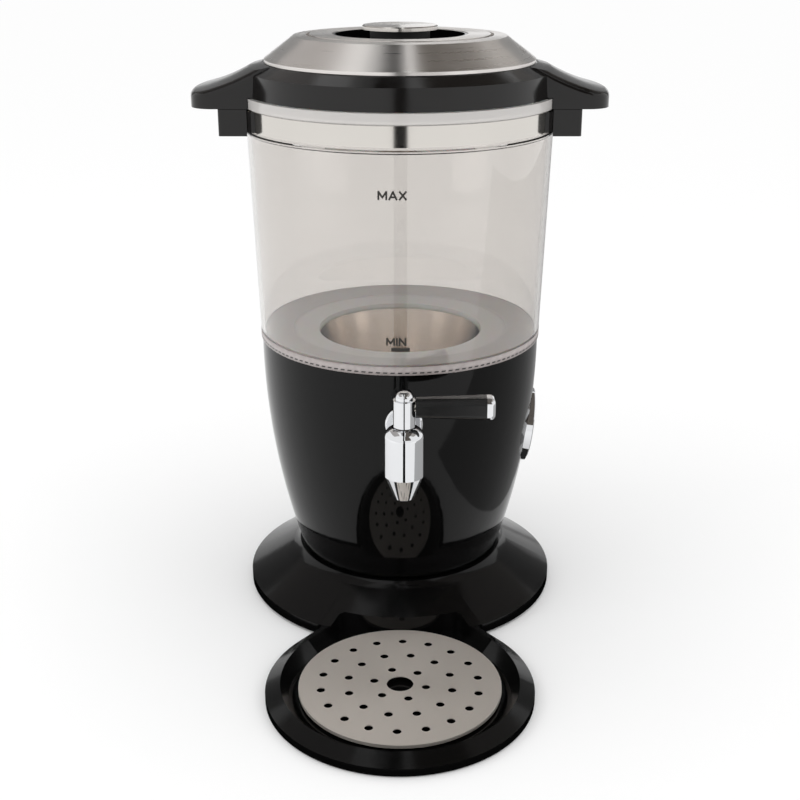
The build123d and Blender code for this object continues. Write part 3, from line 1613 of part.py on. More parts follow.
with BuildPart() as lever_grip:
    with BuildSketch(lever_plane.offset(grip_start)):
        RectangleRounded(2 * grip_root[0], 2 * grip_root[1], grip_round)
    with BuildSketch(lever_plane.offset(grip_end)):
        RectangleRounded(2 * grip_tip[0], 2 * grip_tip[1], grip_round)
    loft()
    with BuildSketch(lever_plane.offset(grip_start)):
        Circle(stub_radius + seat_gap)
    extrude(amount=stub_end + face_gap - grip_start, mode=Mode.SUBTRACT)
    with BuildSketch(lever_plane.offset(grip_end)):
        Circle(cap_pin_radius + seat_gap)
    extrude(amount=-cap_pin_length - face_gap, mode=Mode.SUBTRACT)
lever_grip.part.label = "lever_grip"
export_step(lever_grip.part, "parts/lever_grip.step")

with BuildPart() as lever_end_cap:
    with BuildSketch(lever_plane.offset(grip_end + seat_gap)):
        RectangleRounded(2 * grip_tip[0], 2 * grip_tip[1], grip_round)
    extrude(amount=lever_cap_end - grip_end - seat_gap)
    fillet(lever_end_cap.faces().sort_by(Axis.X)[-1].edges(), lever_cap_round)
    with BuildSketch(lever_plane.offset(grip_end + seat_gap)):
        Circle(cap_pin_radius)
    extrude(amount=-cap_pin_length)
lever_end_cap.part.label = "lever_end_cap"
export_step(lever_end_cap.part, "parts/lever_end_cap.step")


# Thermostat with its dial

dial_out = Axis(dial_plane.origin, dial_plane.z_dir)
with BuildPart() as dial_bezel:
    with BuildSketch(dial_plane.offset(bezel_proud)):
        Circle(bezel_radius)
    extrude(amount=-cup_depth)
    chamfer(dial_bezel.faces().sort_by(dial_out)[-1].edges(), bezel_edge)
    # the back of the bezel follows the curved wall
    add(body_form.part.moved(Location(dial_plane.z_dir * seat_gap)), mode=Mode.SUBTRACT)
    # a thin lip holds it in the mouth of the cup
    with BuildSketch(dial_plane.offset(bezel_proud - bezel_edge)):
        Circle(cup_radius - seat_gap)
    extrude(amount=bezel_edge - bezel_proud - bezel_lip)
    with BuildSketch(dial_plane.offset(bezel_proud)):
        Circle(dial_radius + face_gap)
    extrude(amount=-2 * cup_depth, mode=Mode.SUBTRACT)
dial_bezel.part.label = "dial_bezel"
export_step(dial_bezel.part, "parts/dial_bezel.step")

with BuildPart() as dial_knob:
    with BuildSketch(dial_plane.offset(dial_back)):
        Circle(dial_radius)
    extrude(amount=dial_proud - dial_back)
    chamfer(dial_knob.faces().sort_by(dial_out)[-1].edges(), dial_edge)
    # finger scoops on both sides of a bar that is level with the face
    with BuildSketch(dial_plane.offset(dial_proud)):
        Circle(scoop_radius)
        Rectangle(dial_bar, 2 * scoop_radius, mode=Mode.SUBTRACT)
    extrude(amount=-scoop_depth, taper=scoop_taper, mode=Mode.SUBTRACT)
    # room for the nut and the bush of the thermostat
    with BuildSketch(dial_plane.offset(dial_back)):
        Circle(dial_nut_width / math.sqrt(3) + 2 * face_gap)
    extrude(amount=bush_top + face_gap - dial_back, mode=Mode.SUBTRACT)
    with BuildSketch(dial_plane.offset(dial_back)):
        Circle(shaft_radius + seat_gap)
    extrude(amount=-shaft_tip + face_gap - dial_back, mode=Mode.SUBTRACT)
    with BuildSketch(dial_plane.offset(dial_proud)):
        with Locations((0, scoop_radius - pointer_length)):
            Rectangle(pointer_width + 2 * seat_gap, pointer_length + 2 * seat_gap)
    extrude(amount=-pointer_depth - seat_gap, mode=Mode.SUBTRACT)
dial_knob.part.label = "dial_knob"
export_step(dial_knob.part, "parts/dial_knob.step")

with BuildPart() as dial_pointer:
    with BuildSketch(dial_plane.offset(dial_proud)):
        with Locations((0, scoop_radius - pointer_length)):
            Rectangle(pointer_width, pointer_length)
    extrude(amount=-pointer_depth)
dial_pointer.part.label = "dial_pointer"
export_step(dial_pointer.part, "parts/dial_pointer.step")

thermostat_top = cup_back - face_gap
shaft_bottom = thermostat_top - bush_length
with BuildPart() as thermostat:
    with BuildSketch(dial_plane.offset(thermostat_top)):
        Circle(thermostat_radius)
    extrude(amount=-thermostat_depth)
    with BuildSketch(dial_plane.offset(thermostat_top)):
        Circle(bush_radius)
    extrude(amount=bush_top - thermostat_top)
    with BuildSketch(dial_plane.offset(shaft_bottom - face_gap)):
        Circle(shaft_radius + running_gap)
    extrude(amount=bush_top - shaft_bottom + face_gap, mode=Mode.SUBTRACT)
    # two blade terminals on the back
    with BuildSketch(dial_plane.offset(thermostat_top - thermostat_depth)):
        with GridLocations(thermostat_radius, 1, 2, 1):
            Rectangle(tab_thickness, tab_width)
    extrude(amount=-tab_length)
thermostat.part.label = "thermostat"
export_step(thermostat.part, "parts/thermostat.step")

with BuildPart() as thermostat_nut:
    with BuildSketch(dial_plane.offset(cup_floor)):
        RegularPolygon(dial_nut_width / 2, 6, major_radius=False)
        Circle(bush_radius + seat_gap, mode=Mode.SUBTRACT)
    extrude(amount=dial_nut_thickness)
thermostat_nut.part.label = "thermostat_nut"
export_step(thermostat_nut.part, "parts/thermostat_nut.step")

with BuildPart() as thermostat_shaft:
    with BuildSketch(dial_plane.offset(shaft_bottom)):
        Circle(shaft_radius)
    extrude(amount=-shaft_tip - shaft_bottom)
thermostat_shaft.part.label = "thermostat_shaft"
export_step(thermostat_shaft.part, "parts/thermostat_shaft.step")
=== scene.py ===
import math

import bmesh
import bpy
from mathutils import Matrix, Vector


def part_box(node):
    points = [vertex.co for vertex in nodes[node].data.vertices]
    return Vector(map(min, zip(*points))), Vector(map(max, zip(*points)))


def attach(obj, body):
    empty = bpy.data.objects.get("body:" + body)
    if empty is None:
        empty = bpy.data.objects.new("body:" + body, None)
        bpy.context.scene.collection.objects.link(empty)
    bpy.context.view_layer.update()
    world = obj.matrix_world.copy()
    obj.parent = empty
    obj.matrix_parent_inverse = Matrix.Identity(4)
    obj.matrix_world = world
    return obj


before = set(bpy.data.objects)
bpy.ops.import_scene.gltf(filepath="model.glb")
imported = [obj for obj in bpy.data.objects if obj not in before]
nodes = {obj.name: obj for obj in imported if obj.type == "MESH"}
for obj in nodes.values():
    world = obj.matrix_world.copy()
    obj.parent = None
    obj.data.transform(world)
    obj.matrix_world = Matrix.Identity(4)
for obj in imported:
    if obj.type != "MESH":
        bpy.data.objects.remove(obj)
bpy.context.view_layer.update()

print("frame loaded,", len(nodes), "nodes")

mm = 0.001


def linear(hexColour):
    # sRGB hex to the linear colour that Blender's sockets hold
    parts = [int(hexColour[i:i + 2], 16) / 255 for i in (1, 3, 5)]
    return [c / 12.92 if c <= 0.04045 else ((c + 0.055) / 1.055) ** 2.4 for c in parts] + [1]


def perMm(size):
    # noise scale that gives features of this size in millimetres
    return 1 / (size * mm)


def addNode(tree, kind, settings={}, links={}):
    # settings holds sockets, by name or number, properties, and a ramp's stops as place and colour;
    # links holds the output that feeds each socket
    node = tree.nodes.new("ShaderNode" + kind)
    for name, value in settings.items():
        if name == "stops":
            for stop, (at, colour) in zip(node.color_ramp.elements, value):
                stop.position = at
                stop.color = linear(colour)
        elif isinstance(name, str) and hasattr(node, name):
            setattr(node, name, value)
        else:
            node.inputs[name].default_value = value
    for name, output in links.items():
        tree.links.new(output, node.inputs[name])
    return node


def startMaterial(name):
    material = bpy.data.materials.new(name)
    material.use_nodes = True
    material.node_tree.nodes.clear()
    return material, material.node_tree


def endMaterial(tree, shader):
    addNode(tree, "OutputMaterial", links={"Surface": shader.outputs[0]})


def addObject(name, data):
    thing = bpy.data.objects.new(name, data)
    bpy.context.scene.collection.objects.link(thing)
    return thing


# Camera, matched to the photograph
camera = {
    "place": (0, -1.0, 0.54382), "tiltDown": 20.69, "lens": 56.825, "shiftUp": -0.0064,
    "clip": (0.05, 60),
}


def buildCamera():
    data = bpy.data.cameras.new("camera")
    data.lens = camera["lens"]
    data.shift_y = camera["shiftUp"]
    data.clip_start, data.clip_end = camera["clip"]
    cam = addObject("camera", data)
    cam.location = camera["place"]
    cam.rotation_euler = (math.radians(90 - camera["tiltDown"]), 0, 0)
    bpy.context.scene.camera = cam


buildCamera()
print("camera done")


# Studio: a white surround, two large soft lamps, and painted cards that only reflections see
studio = {
    "fill": 1.0,  # strength of the surround on matt surfaces
    "lampSize": (1.1, 1.5), "lampLeftPower": 5, "lampRightPower": 3,
    "lampPlace": (1.45, -0.75, 0.75), "lampAim": (0, 0, 0.25),
    "floorSize": 40, "floorColour": "#fdfdfd", "floorRoughness": 0.9,
}
room = {
    "ceiling": 1.9, "front": -1.7, "back": 2.6,  # where the cards hang, in metres
    "floor": 0.0004, "foot": 0.0003,  # cards on the floor lie just above it
    "footSteps": 96,
}
cards = {
    # each card darkens one patch of the white surround or floor; on says where it is, sizes are in metres
    "ceilingMid": {"tone": "#050505", "on": "ceiling", "x": (-0.19, 0.05), "y": (-1.7, 1.6)},
    "ceilingRight": {"tone": "#5c5752", "on": "ceiling", "x": (0.17, 1.0), "y": (-1.7, 1.6)},
    "ceilingLeft": {"tone": "#a8a8a8", "on": "ceiling", "x": (-0.36, -0.19), "y": (-1.0, 1.6)},
    "ceilingFarRight": {"tone": "#a8a4a0", "on": "ceiling", "x": (1.0, 2.2), "y": (-1.0, 2.6)},
    "ceilingFarLeft": {"tone": "#aca8a6", "on": "ceiling", "x": (-2.2, -0.66), "y": (-1.0, 2.6)},
    "frontLow": {"tone": "#050505", "on": "front", "x": (-0.13, 0.15), "z": (0, 0.6)},
    "frontHigh": {"tone": "#050505", "on": "front", "x": (-0.20, 0.04), "z": (0.6, 1.9)},
    "frontRight": {"tone": "#5c5752", "on": "front", "x": (0.17, 1.3), "z": (0.6, 1.9)},
    "backLeft": {"tone": "#8c8c8c", "on": "back", "x": (-3.0, 0.0), "z": (0.6, 2.4)},
    "backRight": {"tone": "#8c8c8c", "on": "back", "x": (0.4, 3.0), "z": (0.6, 2.4)},
    # painted shade: these two black rings stand in for the shade where the tray and the base meet the floor
    "trayEdgeShade": {"tone": "#050505", "on": "foot", "centre": (0, -0.1923), "radii": (0.1008, 0.110)},
    "baseEdgeShade": {"tone": "#050505", "on": "foot", "centre": (0, 0), "radii": (0.1306, 0.142)},
    "frontLane": {
        "tone": "#050505", "on": "floor",
        "corners": [(-0.03, -0.34), (0.03, -0.34), (0.15, -1.7), (-0.13, -1.7)]},
    "rightFloor": {
        "tone": "#b0b0b0", "on": "floor",
        "corners": [(0.16, -0.30), (1.6, -0.60), (1.6, 2.4), (0.30, 2.4)]},
}


def cardCorners(plan):
    level = room[plan["on"]]
    if plan["on"] == "ceiling":
        (x0, x1), (y0, y1) = plan["x"], plan["y"]
        return [(x0, y0, level), (x1, y0, level), (x1, y1, level), (x0, y1, level)]
    if plan["on"] in ("front", "back"):
        (x0, x1), (z0, z1) = plan["x"], plan["z"]
        return [(x0, level, z0), (x1, level, z0), (x1, level, z1), (x0, level, z1)]
    if plan["on"] == "foot":
        # painted shade: a dark ring round a foot, seen only in reflections, stands in for the shade where it
        # meets the floor
        x, y = plan["centre"]
        turns = [2 * math.pi * step / room["footSteps"] for step in range(room["footSteps"])]
        return [(x + far * math.sin(turn), y - far * math.cos(turn), level)
                for far in plan["radii"] for turn in turns]
    return [(x, y, level) for x, y in plan["corners"]]


def cardFaces(corners):
    if len(corners) == 4:
        return [(0, 1, 2, 3)]
    count = len(corners) // 2  # a ring has its inner circle first, then its outer one
    return [(i, (i + 1) % count, count + (i + 1) % count, count + i) for i in range(count)]


def buildCard(name, plan):
    material, tree = startMaterial("painted card")
    grain = addNode(tree, "TexNoise", {"Scale": perMm(80), "Detail": 2.0})
    roughness = addNode(tree, "MapRange", {"To Min": 0.9, "To Max": 1.0}, {"Value": grain.outputs["Fac"]})
    shader = addNode(tree, "BsdfPrincipled", {
        "Base Color": linear(plan["tone"]), "Specular IOR Level": 0.0}, {"Roughness": roughness.outputs[0]})
    endMaterial(tree, shader)
    mesh = bpy.data.meshes.new(name)
    corners = cardCorners(plan)
    mesh.from_pydata(corners, [], cardFaces(corners))
    mesh.materials.append(material)
    card = addObject(name, mesh)
    card.visible_camera = False
    card.visible_diffuse = False
    card.visible_transmission = False
    card.visible_shadow = False


def buildSurround():
    # white wherever the camera, a reflection or clear plastic sees it
    world = bpy.data.worlds.new("white surround")
    world.use_nodes = True
    tree = world.node_tree
    tree.nodes.clear()
    path = addNode(tree, "LightPath")
    seen = addNode(tree, "Math", {"operation": "MAXIMUM"}, {
        0: path.outputs["Is Camera Ray"], 1: path.outputs["Is Glossy Ray"]})
    plain = addNode(tree, "Math", {"operation": "MAXIMUM"}, {
        0: seen.outputs[0], 1: path.outputs["Is Transmission Ray"]})
    fill = addNode(tree, "Background", {"Color": linear("#ffffff"), "Strength": studio["fill"]})
    white = addNode(tree, "Background", {"Color": linear("#ffffff"), "Strength": 1.0})
    both = addNode(tree, "MixShader", links={0: plain.outputs[0], 1: fill.outputs[0], 2: white.outputs[0]})
    addNode(tree, "OutputWorld", links={"Surface": both.outputs[0]})
    bpy.context.scene.world = world
    bpy.context.scene.view_settings.view_transform = "Standard"


def buildLamps():
    x, y, z = studio["lampPlace"]
    for side, power in ((-1, studio["lampLeftPower"]), (1, studio["lampRightPower"])):
        data = bpy.data.lights.new("softLamp", "AREA")
        data.shape = "RECTANGLE"
        data.size, data.size_y = studio["lampSize"]
        data.energy = power
        lamp = addObject("softLamp", data)
        lamp.visible_glossy = False  # metals then mirror the surround and the cards, not the lamps
        lamp.location = (side * x, y, z)
        way = Vector(studio["lampAim"]) - lamp.location
        lamp.rotation_euler = way.to_track_quat("-Z", "Y").to_euler()


def buildFloor():
    half = studio["floorSize"] / 2
    mesh = bpy.data.meshes.new("floor")
    corners = [(-half, -half, 0), (half, -half, 0), (half, half, 0), (-half, half, 0)]
    mesh.from_pydata(corners, [], [(0, 1, 2, 3)])
    material, tree = startMaterial("painted board")
    shader = addNode(tree, "BsdfPrincipled", {
        "Base Color": linear(studio["floorColour"]), "Roughness": studio["floorRoughness"],
        "Specular IOR Level": 0.0})
    endMaterial(tree, shader)
    mesh.materials.append(material)
    floor = addObject("floor", mesh)


buildSurround()
buildLamps()
buildFloor()
for name, plan in cards.items():
    buildCard(name, plan)
print("studio done")


# Materials; sizes given to perMm are in mm, and MapRange turns a noise into a range of roughness

def glossMoulding(name, colour, smooth, rough, specular):
    # black plastic moulded against a polished or satin tool: deep black, with reflections that waver
    material, tree = startMaterial(name)
    place = addNode(tree, "TexCoord").outputs["Object"]
    sink = addNode(tree, "TexNoise", {"Scale": perMm(40), "Detail": 1.0}, {"Vector": place})
    touch = addNode(tree, "TexNoise", {"Scale": perMm(14), "Detail": 5.0, "Roughness": 0.6}, {
        "Vector": place})
    roughness = addNode(tree, "MapRange", {
        "From Min": 0.35, "From Max": 0.75, "To Min": smooth, "To Max": rough}, {
        "Value": touch.outputs["Fac"]})
    bump = addNode(tree, "Bump", {"Strength": 0.35, "Distance": 0.05 * mm}, {"Height": sink.outputs["Fac"]})
    shader = addNode(tree, "BsdfPrincipled", {
        "Base Color": linear(colour), "IOR": 1.5, "Specular IOR Level": specular},
        {"Roughness": roughness.outputs[0], "Normal": bump.outputs[0]})
    endMaterial(tree, shader)
    return material


def sparkAbs():
    # ABS moulded against a spark-eroded tool: an even matt grain on the faces that nobody looks at
    material, tree = startMaterial("spark-eroded moulded ABS")
    place = addNode(tree, "TexCoord").outputs["Object"]
    # the real grain is far finer, drawn at 0.7 mm so that it shows
    grain = addNode(tree, "TexNoise", {"Scale": perMm(0.7), "Detail": 2.0}, {"Vector": place})
    patch = addNode(tree, "TexNoise", {"Scale": perMm(25), "Detail": 2.0}, {"Vector": place})
    roughness = addNode(tree, "MapRange", {
        "From Min": 0.3, "From Max": 0.7, "To Min": 0.45, "To Max": 0.6}, {"Value": patch.outputs["Fac"]})
    bump = addNode(tree, "Bump", {"Strength": 0.4, "Distance": 0.05 * mm}, {"Height": grain.outputs["Fac"]})
    shader = addNode(tree, "BsdfPrincipled", {"Base Color": linear("#141414"), "IOR": 1.5},
                     {"Roughness": roughness.outputs[0], "Normal": bump.outputs[0]})
    endMaterial(tree, shader)
    return material


clearPlastic = {
    "colour": "#e4e1de", "shadowColour": "#e8e5e3",
    "rimColour": "#dcd9d6", "rimFrom": 404, "rimFull": 408, "rimCover": 0.65,  # heights in mm
}


def clearSan():
    # SAN moulded clear: a faint warm grey in the wall, and slow waves from the flow of the melt
    material, tree = startMaterial("clear moulded SAN")
    place = addNode(tree, "TexCoord").outputs["Object"]
    flow = addNode(tree, "TexNoise", {"Scale": perMm(60), "Detail": 1.0}, {"Vector": place})
    touch = addNode(tree, "TexNoise", {"Scale": perMm(20), "Detail": 4.0}, {"Vector": place})
    roughness = addNode(tree, "MapRange", {
        "From Min": 0.4, "From Max": 0.8, "To Min": 0.0, "To Max": 0.03}, {"Value": touch.outputs["Fac"]})
    bump = addNode(tree, "Bump", {"Strength": 0.15, "Distance": 0.05 * mm}, {"Height": flow.outputs["Fac"]})
    glass = addNode(tree, "BsdfPrincipled", {
        "Base Color": linear(clearPlastic["colour"]), "IOR": 1.57, "Transmission Weight": 1.0},
        {"Roughness": roughness.outputs[0], "Normal": bump.outputs[0]})
    through = addNode(tree, "BsdfTransparent", {"Color": linear(clearPlastic["shadowColour"])})
    path = addNode(tree, "LightPath")
    clear = addNode(tree, "MixShader", links={
        0: path.outputs["Is Shadow Ray"], 1: glass.outputs[0], 2: through.outputs[0]})
    # from rimFrom up, a pale opaque coat is mixed over the clear wall, so that the thick rim above the steel
    # strip looks pale
    height = addNode(tree, "SeparateXYZ", links={"Vector": place})
    rim = addNode(tree, "MapRange", {
        "From Min": clearPlastic["rimFrom"] * mm, "From Max": clearPlastic["rimFull"] * mm,
        "To Min": 0.0, "To Max": clearPlastic["rimCover"]}, {"Value": height.outputs["Z"]})
    pale = addNode(tree, "BsdfPrincipled", {
        "Base Color": linear(clearPlastic["rimColour"]), "Roughness": 0.15})
    whole = addNode(tree, "MixShader", links={0: rim.outputs[0], 1: clear.outputs[0], 2: pale.outputs[0]})
    endMaterial(tree, whole)
    return material


milkyRing = {
    "low": "#e0dcdb", "high": "#eae6e5", "mouthLightColour": "#f8f4f3",
    "mouthOuter": 89, "mouthInner": 84,  # radii in mm between which the ring turns lighter
}


def milkyPolypropylene():
    # polypropylene moulded milky: light soaks in and comes out soft, with a low satin shine
    material, tree = startMaterial("milky moulded polypropylene")
    place = addNode(tree, "TexCoord").outputs["Object"]
    cloud = addNode(tree, "TexNoise", {"Scale": perMm(18), "Detail": 4.0}, {"Vector": place})
    colour = addNode(tree, "ValToRGB", {"stops": [(0, milkyRing["low"]), (1, milkyRing["high"])]}, {
        "Fac": cloud.outputs["Fac"]})
    # painted light: the ring is coloured lighter round its mouth, for the light that comes up from the bowl
    flat = addNode(tree, "VectorMath", {"operation": "MULTIPLY", 1: (1, 1, 0)}, {0: place})
    radius = addNode(tree, "VectorMath", {"operation": "LENGTH"}, {0: flat.outputs[0]})
    inner = addNode(tree, "MapRange", {
        "From Min": milkyRing["mouthOuter"] * mm, "From Max": milkyRing["mouthInner"] * mm,
        "To Min": 0.0, "To Max": 1.0}, {"Value": radius.outputs["Value"]})
    tone = addNode(tree, "Mix", {"data_type": "RGBA", 7: linear(milkyRing["mouthLightColour"])}, {
        0: inner.outputs[0], 6: colour.outputs[0]})
    # the real grain is far finer, drawn at 1.2 mm so that it shows
    grain = addNode(tree, "TexNoise", {"Scale": perMm(1.2), "Detail": 2.0}, {"Vector": place})
    bump = addNode(tree, "Bump", {"Strength": 0.15, "Distance": 0.04 * mm}, {"Height": grain.outputs["Fac"]})
    shader = addNode(tree, "BsdfPrincipled", {
        "Roughness": 0.3, "IOR": 1.49, "Subsurface Weight": 0.4, "Subsurface Scale": 4 * mm},
        {"Base Color": tone.outputs[2], "Normal": bump.outputs[0]})
    endMaterial(tree, shader)
    return material


def ringBrushed(name, colour, centre, lineWidth, smooth, rough, spread):
    # metal brushed or turned while it spins: fine rings that draw each light into a fan
    material, tree = startMaterial(name)
    place = addNode(tree, "TexCoord").outputs["Object"]
    local = addNode(tree, "VectorMath", {"operation": "SUBTRACT", 1: centre}, {0: place})
    flat = addNode(tree, "VectorMath", {"operation": "MULTIPLY", 1: (1, 1, 0)}, {0: local.outputs[0]})
    radius = addNode(tree, "VectorMath", {"operation": "LENGTH"}, {0: flat.outputs[0]})
    turn = addNode(tree, "VectorMath", {"operation": "NORMALIZE"}, {0: flat.outputs[0]})
    parts = addNode(tree, "SeparateXYZ", links={"Vector": local.outputs[0]})
    across = addNode(tree, "Math", {"operation": "ADD"}, {0: radius.outputs["Value"], 1: parts.outputs["Z"]})
    # the real scratches are far finer, drawn lineWidth wide so that they show
    lines = addNode(tree, "Math", {"operation": "MULTIPLY", 1: perMm(lineWidth)}, {0: across.outputs[0]})
    up = addNode(tree, "CombineXYZ", links={"Z": lines.outputs[0]})
    track = addNode(tree, "VectorMath", {"operation": "ADD"}, {0: turn.outputs[0], 1: up.outputs[0]})
    scratch = addNode(tree, "TexNoise", {"Scale": 1.0, "Detail": 3.0, "Roughness": 0.7}, {
        "Vector": track.outputs[0]})
    roughness = addNode(tree, "MapRange", {
        "From Min": 0.3, "From Max": 0.7, "To Min": smooth, "To Max": rough}, {
        "Value": scratch.outputs["Fac"]})
    bump = addNode(tree, "Bump", {"Strength": 0.12, "Distance": 0.02 * mm}, {
        "Height": scratch.outputs["Fac"]})
    tangent = addNode(tree, "Tangent", {"direction_type": "RADIAL", "axis": "Z"})
    # the quarter turn stretches each highlight across the rings, as fine scratches do
    shader = addNode(tree, "BsdfPrincipled", {
        "Base Color": linear(colour), "Metallic": 1.0, "Anisotropic": spread, "Anisotropic Rotation": 0.25},
        {"Roughness": roughness.outputs[0], "Normal": bump.outputs[0], "Tangent": tangent.outputs[0]})
    endMaterial(tree, shader)
    return material


def brightChrome(name, colour, smooth, rough):
    # chrome plate over polished metal: a clean mirror with the haze of a wiping cloth
    material, tree = startMaterial(name)
    place = addNode(tree, "TexCoord").outputs["Object"]
    haze = addNode(tree, "TexNoise", {"Scale": perMm(9), "Detail": 5.0, "Roughness": 0.65}, {
        "Vector": place})
    roughness = addNode(tree, "MapRange", {
        "From Min": 0.35, "From Max": 0.75, "To Min": smooth, "To Max": rough}, {
        "Value": haze.outputs["Fac"]})
    wave = addNode(tree, "TexNoise", {"Scale": perMm(6), "Detail": 1.0}, {"Vector": place})
    bump = addNode(tree, "Bump", {"Strength": 0.2, "Distance": 0.02 * mm}, {"Height": wave.outputs["Fac"]})
    shader = addNode(tree, "BsdfPrincipled", {"Base Color": linear(colour), "Metallic": 1.0},
                     {"Roughness": roughness.outputs[0], "Normal": bump.outputs[0]})
    endMaterial(tree, shader)
    return material


def softMoulding(name, low, high, grainSize, dullness, soak):
    # silicone and rubber: dull, with a fine grain from the tool and a bloom of lighter patches;
    # the real grain is far finer, drawn at grainSize so that it shows
    material, tree = startMaterial(name)
    place = addNode(tree, "TexCoord").outputs["Object"]
    bloom = addNode(tree, "TexNoise", {"Scale": perMm(8), "Detail": 4.0}, {"Vector": place})
    colour = addNode(tree, "ValToRGB", {"stops": [(0, low), (1, high)]}, {"Fac": bloom.outputs["Fac"]})
    grain = addNode(tree, "TexNoise", {"Scale": perMm(grainSize), "Detail": 2.0}, {"Vector": place})
    bump = addNode(tree, "Bump", {"Strength": 0.3, "Distance": 0.04 * mm}, {"Height": grain.outputs["Fac"]})
    shader = addNode(tree, "BsdfPrincipled", {
        "Roughness": dullness, "IOR": 1.43, "Subsurface Weight": soak, "Subsurface Scale": 2 * mm},
        {"Base Color": colour.outputs[0], "Normal": bump.outputs[0]})
    endMaterial(tree, shader)
    return material


def castMetal(name, low, high, grainSize, smooth, rough, deep):
    # aluminium from a die, or steel with a zinc coat: cloudy patches and a sandy skin;
    # the real skin is finer, drawn at grainSize so that it shows
    material, tree = startMaterial(name)
    place = addNode(tree, "TexCoord").outputs["Object"]
    cloud = addNode(tree, "TexNoise", {"Scale": perMm(grainSize * 6), "Detail": 5.0}, {"Vector": place})
    colour = addNode(tree, "ValToRGB", {"stops": [(0, low), (1, high)]}, {"Fac": cloud.outputs["Fac"]})
    roughness = addNode(tree, "MapRange", {
        "From Min": 0.3, "From Max": 0.7, "To Min": smooth, "To Max": rough}, {
        "Value": cloud.outputs["Fac"]})
    skin = addNode(tree, "TexNoise", {"Scale": perMm(grainSize), "Detail": 3.0}, {"Vector": place})
    bump = addNode(tree, "Bump", {"Strength": deep, "Distance": 0.08 * mm}, {"Height": skin.outputs["Fac"]})
    shader = addNode(tree, "BsdfPrincipled", {"Metallic": 1.0}, {
        "Base Color": colour.outputs[0], "Roughness": roughness.outputs[0], "Normal": bump.outputs[0]})
    endMaterial(tree, shader)
    return material


ceramicStops = [(0.28, "#8f8778"), (0.36, "#d9d1c3")]  # specks, then the body they lie in


def steatite():
    # steatite pressed and fired: a chalky cream body with a few dark specks
    material, tree = startMaterial("pressed steatite")
    place = addNode(tree, "TexCoord").outputs["Object"]
    speck = addNode(tree, "TexNoise", {"Scale": perMm(1.5), "Detail": 2.0}, {"Vector": place})
    colour = addNode(tree, "ValToRGB", {"stops": ceramicStops}, {"Fac": speck.outputs["Fac"]})
    bump = addNode(tree, "Bump", {"Strength": 0.3, "Distance": 0.05 * mm}, {"Height": speck.outputs["Fac"]})
    shader = addNode(tree, "BsdfPrincipled", {"Roughness": 0.62, "IOR": 1.6},
                     {"Base Color": colour.outputs[0], "Normal": bump.outputs[0]})
    endMaterial(tree, shader)
    return material


plateLow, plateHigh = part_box("drip_plate")
plugLow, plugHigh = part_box("valve_plug")
mainAxis = (0, 0, 0)  # the lid, band, bowl and cap are round about the upright axis
plateAxis = (plateLow + plateHigh) / 2
tapAxis = (plugLow + plugHigh) / 2

mirrorBlack = glossMoulding("mirror-polished moulded ABS", "#070707", smooth=0.045, rough=0.10, specular=0.2)
footBlack = glossMoulding("polished moulded ABS", "#070707", smooth=0.11, rough=0.17, specular=0.22)
softBlack = glossMoulding("satin-polished moulded ABS", "#0d0b0a", smooth=0.14, rough=0.20, specular=0.42)
gripBlack = glossMoulding("satin moulded phenolic", "#121212", smooth=0.20, rough=0.26, specular=0.5)
matBlack = sparkAbs()
clearWall = clearSan()
milky = milkyPolypropylene()
lidSteel = ringBrushed(
    "spun brushed stainless", "#e9e5e1", mainAxis, lineWidth=0.5, smooth=0.26, rough=0.34, spread=0.9)
bowlSteel = ringBrushed(
    "drawn stainless", "#e6dfd8", mainAxis, lineWidth=0.8, smooth=0.14, rough=0.22, spread=0.5)
bandSteel = ringBrushed(
    "polished stainless strip", "#d9d5cf", mainAxis, lineWidth=0.6, smooth=0.08, rough=0.16, spread=0.5)
plateSteel = ringBrushed(
    "brushed stainless plate", "#fbf5ee", plateAxis, lineWidth=0.5, smooth=0.64, rough=0.74, spread=0.2)
capSteel = ringBrushed(
    "turned stainless button", "#e2ded9", mainAxis, lineWidth=0.5, smooth=0.16, rough=0.24, spread=0.8)
turnedBrass = ringBrushed(
    "turned brass", "#b8924e", tapAxis, lineWidth=0.4, smooth=0.2, rough=0.35, spread=0.5)
chrome = brightChrome("bright chrome plate", "#e2e3e5", smooth=0.02, rough=0.07)
satinChrome = brightChrome("satin chrome plate", "#b9b9ba", smooth=0.12, rough=0.22)
whiteSilicone = softMoulding(
    "moulded silicone", "#d6d1c8", "#e6e2da", grainSize=0.9, dullness=0.45, soak=0.3)
blackRubber = softMoulding(
    "moulded rubber", "#131313", "#1f1f1e", grainSize=0.8, dullness=0.75, soak=0.0)
castAluminium = castMetal(
    "die-cast aluminium", "#9a9b9d", "#b4b5b7", grainSize=1.0, smooth=0.4, rough=0.6, deep=0.5)
zincSteel = castMetal(
    "zinc-plated steel", "#a9abb3", "#c4c5c9", grainSize=0.6, smooth=0.25, rough=0.4, deep=0.15)
firedCeramic = steatite()
print("materials done")

